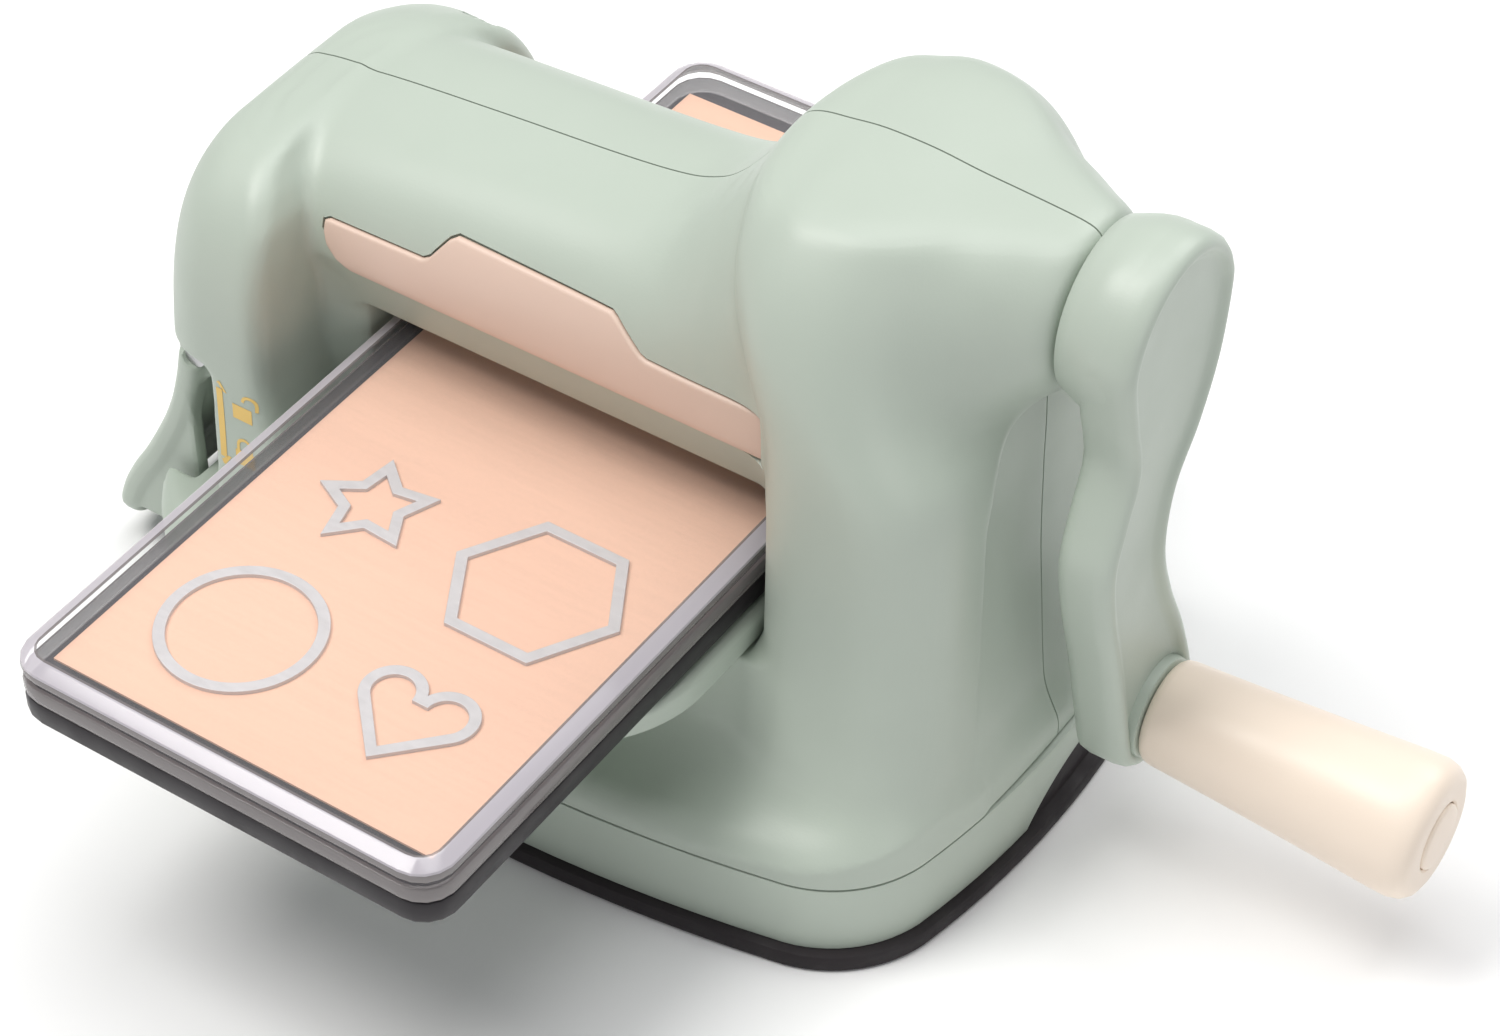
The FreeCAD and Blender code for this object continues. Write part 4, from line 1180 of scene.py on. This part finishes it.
@dataclass
class Trim:
    """Cream strip with a raised tab, let into the bridge's front."""

    hood: Hood
    top: Table = ((-46.0, 83.6), (-45.0, 84.2), (-26.4, 84.7), (-25.2, 85.4), (-22.4, 89.0), (-21.0, 89.9),
                  (9.0, 89.9), (10.2, 89.3), (15.4, 85.4), (16.6, 85.0), (44.0, 85.0))
    bottom: Table = ((-46.0, 82.4), (-45.0, 79.2), (-43.2, 77.2), (-40.5, 75.9), (44.0, 75.9))
    rows: Sequence[float] = (0, 0.015, 0.035, 0.06, 0.1, 0.2, 0.35, 0.5, 0.65, 0.8, 0.9, 0.94, 0.965,
                             0.985, 1)
    cell: float = 0.6
    proud: float = 0.42
    sunk: float = 0.8
    edge: float = 0.5
    edge_fall: float = 0.6
    groove: float = 0.34
    groove_floor: float = 0.1
    groove_reach: float = 1.6

    def patch(self, name: str, grow: float, low: float, high: float, fall: float) -> Object:
        """Closed slab that follows the bridge.

        Args:
            name: name of the object.
            grow: distance that its outline is moved outwards.
            low: inner face's distance out of the bridge.
            high: outer face's distance out of the bridge.
            fall: distance that the outer face falls towards its rim.

        Returns:
            The slab.
        """
        place, top = (np.array(column) for column in zip(*self.top))
        start, stop = place[0] - grow, place[-1]
        ends = np.array([start, *place[1:-1], stop])
        pieces = [np.linspace(a, b, max(3, int((b - a) / self.cell)), endpoint=False)
                  for a, b in zip(ends, ends[1:])]
        fine = np.concatenate(pieces + [[stop]])
        width, height = len(fine), len(self.rows)
        slope = np.gradient(np.interp(fine, place, top), fine)
        roof = np.interp(fine, place, top) + grow * np.sqrt(1 + slope ** 2)
        floor = np.interp(fine, *zip(*self.bottom)) - grow
        x, roof, floor = (np.repeat(line, height) for line in (fine, roof, floor))
        z = floor + (roof - floor) * np.tile(self.rows, width)
        rim = np.minimum(np.minimum(z - floor, roof - z), x - start)
        drop = np.clip(1 - rim / self.edge, 0, 1) ** 2 * fall
        maker = MeshMaker()
        inner = maker.add(self.hood.front(x, z, low))
        outer = maker.add(self.hood.front(x, z, high - drop))
        for i in range(width - 1):
            for j in range(height - 1):
                a, b = i * height + j, (i + 1) * height + j
                maker.faces.append(([outer + a, outer + b, outer + b + 1, outer + a + 1], 0))
                maker.faces.append(([inner + a, inner + a + 1, inner + b + 1, inner + b], 0))
        border = [i * height for i in range(width)] + [(width - 1) * height + j for j in range(1, height)]
        border += [i * height + height - 1 for i in range(width - 2, -1, -1)] + list(range(height - 2, 0, -1))
        for a, b in zip(border, border[1:] + border[:1]):
            maker.faces.append(([inner + a, inner + b, outer + b, outer + a], 0))
        return maker.object(name, sharp_deg=50.0)

    def build(self) -> Object:
        """Make the strip."""
        return self.patch("bridge_trim", 0.0, -self.sunk, self.proud, self.edge_fall)

    def pocket(self) -> Object:
        """Make the form, a little larger than the strip, that is cut from the casing for it."""
        return self.patch("trim_pocket", self.groove, -self.sunk - self.groove_floor, self.groove_reach, 0.0)


@dataclass
class Lever:
    """Lock lever: a flared paddle with a round hinge, a cam and two end webs."""

    low: Triple = (-95.0, -39.0, 1.0)
    high: Triple = (-57.0, 39.0, 61.0)
    step: float = 0.5
    pivot_x: float = -68.0
    pivot_z: float = 51.5
    pin_r: float = 2.1
    barrel_r: float = 5.5
    barrel_y: float = 33.0
    barrel_round: float = 1.0
    barrel_fillet: float = 2.5
    half_y: float = 36.0
    outside: Table = ((2, -91.0), (8, -90.2), (13, -88.6), (18.5, -85.8), (24, -82.3), (30.3, -78.8),
                      (36, -76.0), (41.6, -73.9), (50, -71.8), (58, -70.6))
    thick: float = 4.4
    reach_z: Span = (4.0, 56.0)
    corner: float = 6.0
    edge: float = 1.7
    cam_r: float = 9.0
    cam_fall: float = 1.604
    cam_y: float = 5.0
    cam_turn: Span = (-0.45, 1.75)
    web_x: float = -70.0
    web_y: Span = (32.6, 35.4)
    web_skin: float = 1.5
    web_foot: float = 4.5
    web_slant: float = 28.0
    web_steep: float = 0.7
    web_fillet: float = 1.0
    rib_y: Span = (8.6, 11.9)
    rib_room: float = 6.2

    def paddle(self, at: Places) -> Array:
        """Field of the paddle with its end webs and hinge barrel.

        Args:
            at: sample places.

        Returns:
            The field.
        """
        x, y, z = at
        plan = rounded(band(z, self.reach_z), np.abs(y) - self.half_y, radius=self.corner)
        slope = (through(self.outside, z + 1) - through(self.outside, z - 1)) / 2
        inward = (x - through(self.outside, z)) / np.sqrt(1 + slope ** 2)
        paddle = rounded(plan, band(inward, (0.0, self.thick)), radius=self.edge)
        paddle = np.maximum(paddle, z - self.pivot_z)
        radial = np.hypot(x - self.pivot_x, z - self.pivot_z) - self.barrel_r
        barrel = rounded(radial, np.abs(y) - self.barrel_y, radius=self.barrel_round)
        slant = self.web_steep * (z + x + self.web_slant)
        web = overlap(band(np.abs(y), self.web_y), x - self.web_x, self.web_skin - inward,
                      self.reach_z[0] + self.web_foot - z, slant)
        return smooth_min(smooth_min(paddle, barrel, self.barrel_fillet), web, self.web_fillet)

    def build(self) -> Object:
        """Make the lever.

        Returns:
            The lever.
        """
        volume = Volume(self.low, self.high, self.step)
        x, y, z = at = volume.places()
        radial = np.hypot(x - self.pivot_x, z - self.pivot_z)
        turn = np.arctan2(x - self.pivot_x, self.pivot_z - z)
        first, last = self.cam_turn
        cam = overlap(radial - self.cam_r + self.cam_fall * np.maximum(turn, 0), np.abs(y) - self.cam_y,
                      first - turn, turn - last)
        slot = np.maximum(band(np.abs(y), self.rib_y), self.pivot_z - self.rib_room - z)
        form = np.maximum(np.minimum(self.paddle(at), cam), -np.minimum(radial - self.pin_r, slot))
        return finished("lock_lever", volume.mesh("lock_lever", form))


@dataclass
class Crank:
    """Crank arm with a round hub, a waist and a dished outer face."""

    axis_z: float = 109.3
    hub_r: float = 15.7
    grip_y: float = 4.0
    grip_z: float = 29.4
    end_r: float = 11.2
    front: Table = ((-13.9, 99.5), (-11.9, 90.0), (-14.6, 82.0), (-17.0, 73.5), (-15.6, 62.0), (-11.8, 48.0))
    back: Table = ((10.6, 44.0), (5.2, 56.0), (2.0, 67.0), (3.4, 78.0), (9.2, 86.5), (13.8, 97.0))
    points: int = 260
    profile: Table = ((2.4, 84.5), (1.1, 84.75), (0.3, 85.6), (0.0, 87.0), (0.0, 91.0), (0.3, 92.7),
                      (1.0, 93.7), (1.7, 94.0), (2.3, 93.9), (2.8, 93.45), (3.3, 93.05), (4.2, 92.85))
    neck: Table = ((80.1, 7.0), (80.1, 13.3), (80.35, 13.8), (82.2, 14.55), (84.4, 15.3), (86.0, 15.66),
                   (88.0, 15.76), (90.0, 15.6))
    collar: Table = ((92.4, 8.9), (94.3, 8.6), (94.55, 8.2), (94.6, 3.2))

    def outline(self) -> Array:
        """Outline of the arm.

        Returns:
            Anticlockwise points of y and z.
        """
        hub = [(self.hub_r * math.cos(a), self.axis_z + self.hub_r * math.sin(a))
               for a in np.radians(range(0, 181, 20))]
        end = [(self.grip_y + self.end_r * math.cos(a), self.grip_z + self.end_r * math.sin(a))
               for a in np.radians(range(190, 371, 20))]
        return closed_curve([*hub, *self.front, *end, *self.back], self.points)

    def build(self) -> Object:
        """Make the arm.

        Returns:
            The arm.
        """
        maker = MeshMaker()
        maker.loft(stepped(self.outline(), self.profile, 0))
        maker.lathe_x(self.neck, 0.0, self.axis_z)
        maker.lathe_x(self.collar, self.grip_y, self.grip_z)
        return maker.object("crank_arm_body", sharp_deg=45.0)


@dataclass
class Grip:
    """Flared round grip with a plug in its end."""

    y: float = 4.0
    z: float = 29.4
    profile: Table = ((94.8, 3.1), (94.8, 7.5), (95.0, 8.25), (95.6, 8.75), (96.6, 8.98), (110.0, 9.75),
                      (125.0, 10.75), (136.5, 11.6), (139.3, 11.7), (141.2, 11.25), (142.4, 10.3),
                      (142.95, 9.0), (143.0, 7.6), (143.0, 6.1), (142.7, 5.75), (136.0, 5.7), (136.0, 3.1),
                      (94.8, 3.1))
    cap: Table = ((138.2, 0.6), (138.2, 5.55), (143.0, 5.55), (143.35, 5.3), (143.5, 4.8), (143.55, 2.5),
                  (143.56, 0.6))

    def build(self) -> list[Object]:
        """Make the grip and its plug.

        Returns:
            Grip and plug.
        """
        objects = []
        for name, profile in (("grip_body", self.profile), ("grip_plug", self.cap)):
            maker = MeshMaker()
            maker.lathe_x(profile, self.y, self.z)
            objects.append(maker.object(name))
        return objects


@dataclass
class Plate:
    """One plate of the stack; its edge gives inset and height from the bottom face to the top face."""

    name: str
    bottom_z: float
    edge: Table
    slots: Sequence[int]
    low: Span = (-40.0, -111.4)
    high: Span = (40.0, 68.9)
    corner: float = 6.0
    points: int = 240

    def build(self) -> Object:
        """Make the plate.

        Returns:
            The plate.
        """
        outline = rounded_rectangle(self.low, self.high, self.corner, self.points)
        profile = [(depth, self.bottom_z + height) for depth, height in self.edge]
        maker = MeshMaker()
        maker.loft(stepped(outline, profile, 2), slots=self.slots)
        return maker.object(self.name, sharp_deg=30.0)


PLATFORM = Plate("platform_plate", 50.1, ((0.9, 0), (0.25, 0.3), (0, 0.9), (0, 3.7), (0.2, 4.2), (0.7, 4.48),
                                          (4, 4.48)), [0] * 6)
LOWER_PLATE = Plate("lower_clear_plate", 54.6, ((0.6, 0), (0.15, 0.15), (0, 0.5), (0, 2.5), (0.2, 2.9),
                                                (0.7, 3.08), (4, 3.08)), [1, 1, 1, 1, 1, 0])
# Slot 2 of the upper plate, on its top bevel, takes the painted rim highlight.
UPPER_PLATE = Plate("upper_clear_plate", 58.9, ((0.5, 0), (0.1, 0.15), (0, 0.5), (0, 1.6), (0.15, 1.95),
                                                (1.9, 2.9), (2.3, 3.06), (2.7, 3.1), (6, 3.1)),
                    [1, 1, 1, 2, 2, 2, 1, 0])


@dataclass
class Pictograms:
    """Gold signs for the lock on the left pillar: an arrow, an open and a closed padlock."""

    bar_x: float = -57.4
    bar_z: Span = (38.5, 56.0)
    bar_w: float = 1.3
    bar_end: float = 1.5
    head: float = 2.0
    head_foot: Span = (-1.4, 1.6)
    head_tip: Span = (-0.1, 0.3)
    lock_x: float = -52.8
    open_z: float = 49.6
    closed_z: float = 40.0
    lock_w: int = 4
    lock_h: float = 3.0
    bow_r: float = 1.35
    bow_z: float = 4.1
    bow_w: float = 0.6
    bow_shift: float = 1.6
    start_y: float = -80.0
    lift: float = 0.06

    def build(self, casing: Object) -> Object:
        """Lay the signs on the casing.

        Args:
            casing: front half of the casing.

        Returns:
            The signs.
        """
        tree = BVHTree.FromObject(casing, bpy.context.evaluated_depsgraph_get())
        maker = MeshMaker()
        for quad in self.arrow() + self.padlock(self.open_z, True) + self.padlock(self.closed_z, False):
            points = []
            for x, z in quad:
                hit, facing, _, _ = tree.ray_cast(Vector((x, self.start_y, z)) * MM, Vector((0, 1, 0)))
                points.append(np.array(hit + facing * self.lift * MM) / MM)
            first = maker.add(np.array(points))
            maker.faces.append((list(range(first, first + len(points))), 0))
        return maker.object("lock_signs")

    def strip(self, line: Table, width: float) -> list[Table]:
        """Band along a line.

        Args:
            line: points of the line.
            width: width of the band.

        Returns:
            Quads of sideways and upward places.
        """
        p = np.array(line, float)
        along = np.gradient(p, axis=0)
        along /= np.linalg.norm(along, axis=1, keepdims=True)
        side = np.stack([-along[:, 1], along[:, 0]], 1) * width / 2
        a, b = p + side, p - side
        return [(b[k], b[k + 1], a[k + 1], a[k]) for k in range(len(p) - 1)]

    def arrow(self) -> list[Table]:
        """Bar with a head at both ends.

        Returns:
            Quads of sideways and upward places.
        """
        x, (low, high) = self.bar_x, self.bar_z
        heights = np.linspace(low + self.bar_end, high - self.bar_end, 15)
        quads = self.strip([(x, z) for z in heights], self.bar_w)
        for tip, way in ((high, 1), (low, -1)):
            foot = tip - way * self.head
            corners = ((x + self.head_foot[0], foot), (x + self.head_foot[1], foot),
                       (x + self.head_tip[1], tip), (x + self.head_tip[0], tip))
            quads.append(corners[::way])
        return quads

    def padlock(self, v: float, opened: bool) -> list[Table]:
        """One padlock.

        Args:
            v: height of its lower edge.
            opened: whether its bow hangs open.

        Returns:
            Quads of sideways and upward places.
        """
        u, top = self.lock_x, v + self.lock_h
        starts = [u - self.lock_w / 2 + k for k in range(self.lock_w)]
        quads = [((x, v), (x + 1, v), (x + 1, top), (x, top)) for x in starts]
        middle = u + self.bow_shift if opened else u
        bow = [(middle + self.bow_r * math.cos(a), v + self.bow_z + self.bow_r * math.sin(a))
               for a in np.linspace(0.0, math.pi, 13)]
        last = [] if opened else [(bow[-1][0], top)]
        return quads + self.strip([(bow[0][0], top), *bow, *last], self.bow_w)


@dataclass
class Studio:
    """Pale floor, soft lights and the photograph's camera."""

    floor_half: float = 6.0
    floor_z_mm: float = -0.02
    floor_grey: float = 0.93
    aim: Triple = (0.02, -0.02, 0.05)
    camera_mm: tuple[float, float, float] = (282.41, -389.51, 479.91)
    azimuth_deg: float = 34.1
    elevation_deg: float = 43.5
    lens: float = 94.8
    world: Triple = (0.96, 0.97, 1.0)
    world_strength: float = 0.34

    def build(self) -> None:
        """Make the floor, lights, world and camera."""
        maker = MeshMaker()
        f, z = self.floor_half / MM, self.floor_z_mm
        maker.add(np.array([(-f, -f, z), (f, -f, z), (f, f, z), (-f, f, z)]))
        maker.faces.append(([0, 1, 2, 3], 0))
        floor = maker.object("studio_floor")
        s = Shader("studio_floor")
        s.set(Base_Color=(*[self.floor_grey] * 3, 1.0), Roughness=0.7, Specular_IOR_Level=0.2)
        floor.data.materials.append(s.material)
        for light in Light:
            self.lamp(light)
        world = bpy.data.worlds.new("studio_world")
        bpy.context.scene.world = world
        world.use_nodes = True
        back = world.node_tree.nodes["Background"]
        back.inputs["Color"].default_value = (*self.world, 1.0)
        back.inputs["Strength"].default_value = self.world_strength
        self.camera()

    def lamp(self, light: Light) -> None:
        """Make one area light that faces the object.

        Args:
            light: the light.
        """
        place, size, power, colour = light.value
        data = bpy.data.lights.new(light.name.lower(), "AREA")
        data.shape = "DISK"
        data.size = size
        data.energy = power
        data.color = colour
        obj = bpy.data.objects.new(light.name.lower(), data)
        obj.location = place
        obj.rotation_mode = "QUATERNION"
        obj.rotation_quaternion = (Vector(self.aim) - Vector(place)).to_track_quat("-Z", "Y")
        bpy.context.scene.collection.objects.link(obj)

    def camera(self) -> None:
        """Make the camera."""
        a, e = math.radians(self.azimuth_deg), math.radians(self.elevation_deg)
        ahead = Vector((-math.sin(a) * math.cos(e), math.cos(a) * math.cos(e), -math.sin(e)))
        right = Vector((math.cos(a), math.sin(a), 0.0))
        up = right.cross(ahead)
        data = bpy.data.cameras.new("photo_camera")
        data.lens = self.lens
        data.sensor_width = 36.0
        obj = bpy.data.objects.new("photo_camera", data)
        turn = Matrix((right, up, -ahead)).transposed().to_4x4()
        obj.matrix_world = Matrix.Translation(Vector(self.camera_mm) * MM) @ turn
        bpy.context.scene.collection.objects.link(obj)
        bpy.context.scene.camera = obj
        bpy.context.scene.view_settings.view_transform = "Standard"


@dataclass
class DieCutter:
    """The whole machine."""

    die_bevel: float = 0.09
    die_sharp_deg: float = 30.0
    die_shade_deg: float = 12.0
    die_sink: float = 0.06
    tray_bevel: float = 0.35
    deck_bevel: float = 0.5
    pad_bevel: float = 0.8
    stud_room_r: float = 18.0
    stud_room_z: float = 3.3

    def build(self) -> None:
        """Make and dress every piece."""
        sage, cream, ivory = SAGE.material(), CREAM.material(), IVORY.material()
        hood = Hood()
        trim = Trim(hood)
        front, rear = Casing(BaseOutline(), hood).build(trim.pocket())
        dress(front, [sage], Body.CASING, ["front_shell"])
        dress(rear, [sage], Body.CASING, ["rear_shell"])
        dress(trim.build(), [cream], Body.CASING, ["front_trim"])
        tray = softened("base_tray", "base_band", self.tray_bevel)
        dress(tray, [sage], Body.CASING, ["base_tray"])
        pad = softened("suction_pad", "suction_foot", self.pad_bevel)
        for vertex in pad.data.vertices:
            if math.hypot(vertex.co.x, vertex.co.y) < self.stud_room_r * MM:
                vertex.co.z = min(vertex.co.z, self.stud_room_z * MM)
        dress(pad, [FOOT_RUBBER.material()], Body.CASING, ["suction_pad"])
        deck = softened("feed_deck", "feed_shelf", self.deck_bevel)
        dress(deck, [sage], Body.CASING, ["feed_deck"])
        dress(Lever().build(), [sage], Body.LEVER, ["suction_lever"])
        dress(Crank().build(), [sage], Body.CRANK, ["crank_arm"])
        grip, plug = Grip().build()
        dress(grip, [ivory], Body.GRIP, ["crank_grip"])
        dress(plug, [ivory], Body.GRIP, ["grip_cap"])
        dress(Pictograms().build(front), [GOLD_PRINT.material()], Body.CASING)
        self.stack()
        self.inside()

    def stack(self) -> None:
        """Make and dress the plates, the card and the dies."""
        # The third clear finish is the painted rim highlight.
        clear = [CLEAR_FACE.material(), CLEAR_SIDE.material(), CLEAR_RIM_PAINTED_HIGHLIGHT.material()]
        dress(PLATFORM.build(), [PLATE_BLACK.material()], Body.STACK, ["base_plate"])
        dress(LOWER_PLATE.build(), clear, Body.STACK, ["lower_cutting_plate"])
        dress(UPPER_PLATE.build(), clear, Body.STACK, ["upper_cutting_plate"])
        metal = DIE_STEEL.material()
        for name in ("star", "hexagon", "circle", "heart"):
            die = softened(name + "_die", name + "_outline", self.die_bevel, self.die_sharp_deg,
                           self.die_shade_deg)
            for vertex in die.data.vertices:
                vertex.co.z -= self.die_sink * MM
            dress(die, [metal], Body.STACK, [name + "_die"])
        self.repaint(["card_sheet"], PEACH_CARD.material())

    def inside(self) -> None:
        """Give the CAD pieces that stay their finishes."""
        slots = {row["node"]: row["material_slot"] for row in frame["record"]["subparts"]}
        for slot, finish in ((Slot.STEEL, STEEL), (Slot.BRASS, BRASS)):
            self.repaint([n for n, s in slots.items() if s == slot.value], finish.material())

    def repaint(self, nodes: Iterable[str], material: Material) -> None:
        """Replace the material of CAD nodes.

        Args:
            nodes: names of the nodes.
            material: their new material.
        """
        for node in nodes:
            mesh = frame["nodes"][node].data
            mesh.materials.clear()
            mesh.materials.append(material)
            log.info("node %s: %s", node, material.name)


def main() -> None:
    """Build the machine and the studio."""
    logging.basicConfig(level=logging.INFO, format="%(name)s %(message)s")
    DieCutter().build()
    Studio().build()


if __name__ == "__main__":
    main()
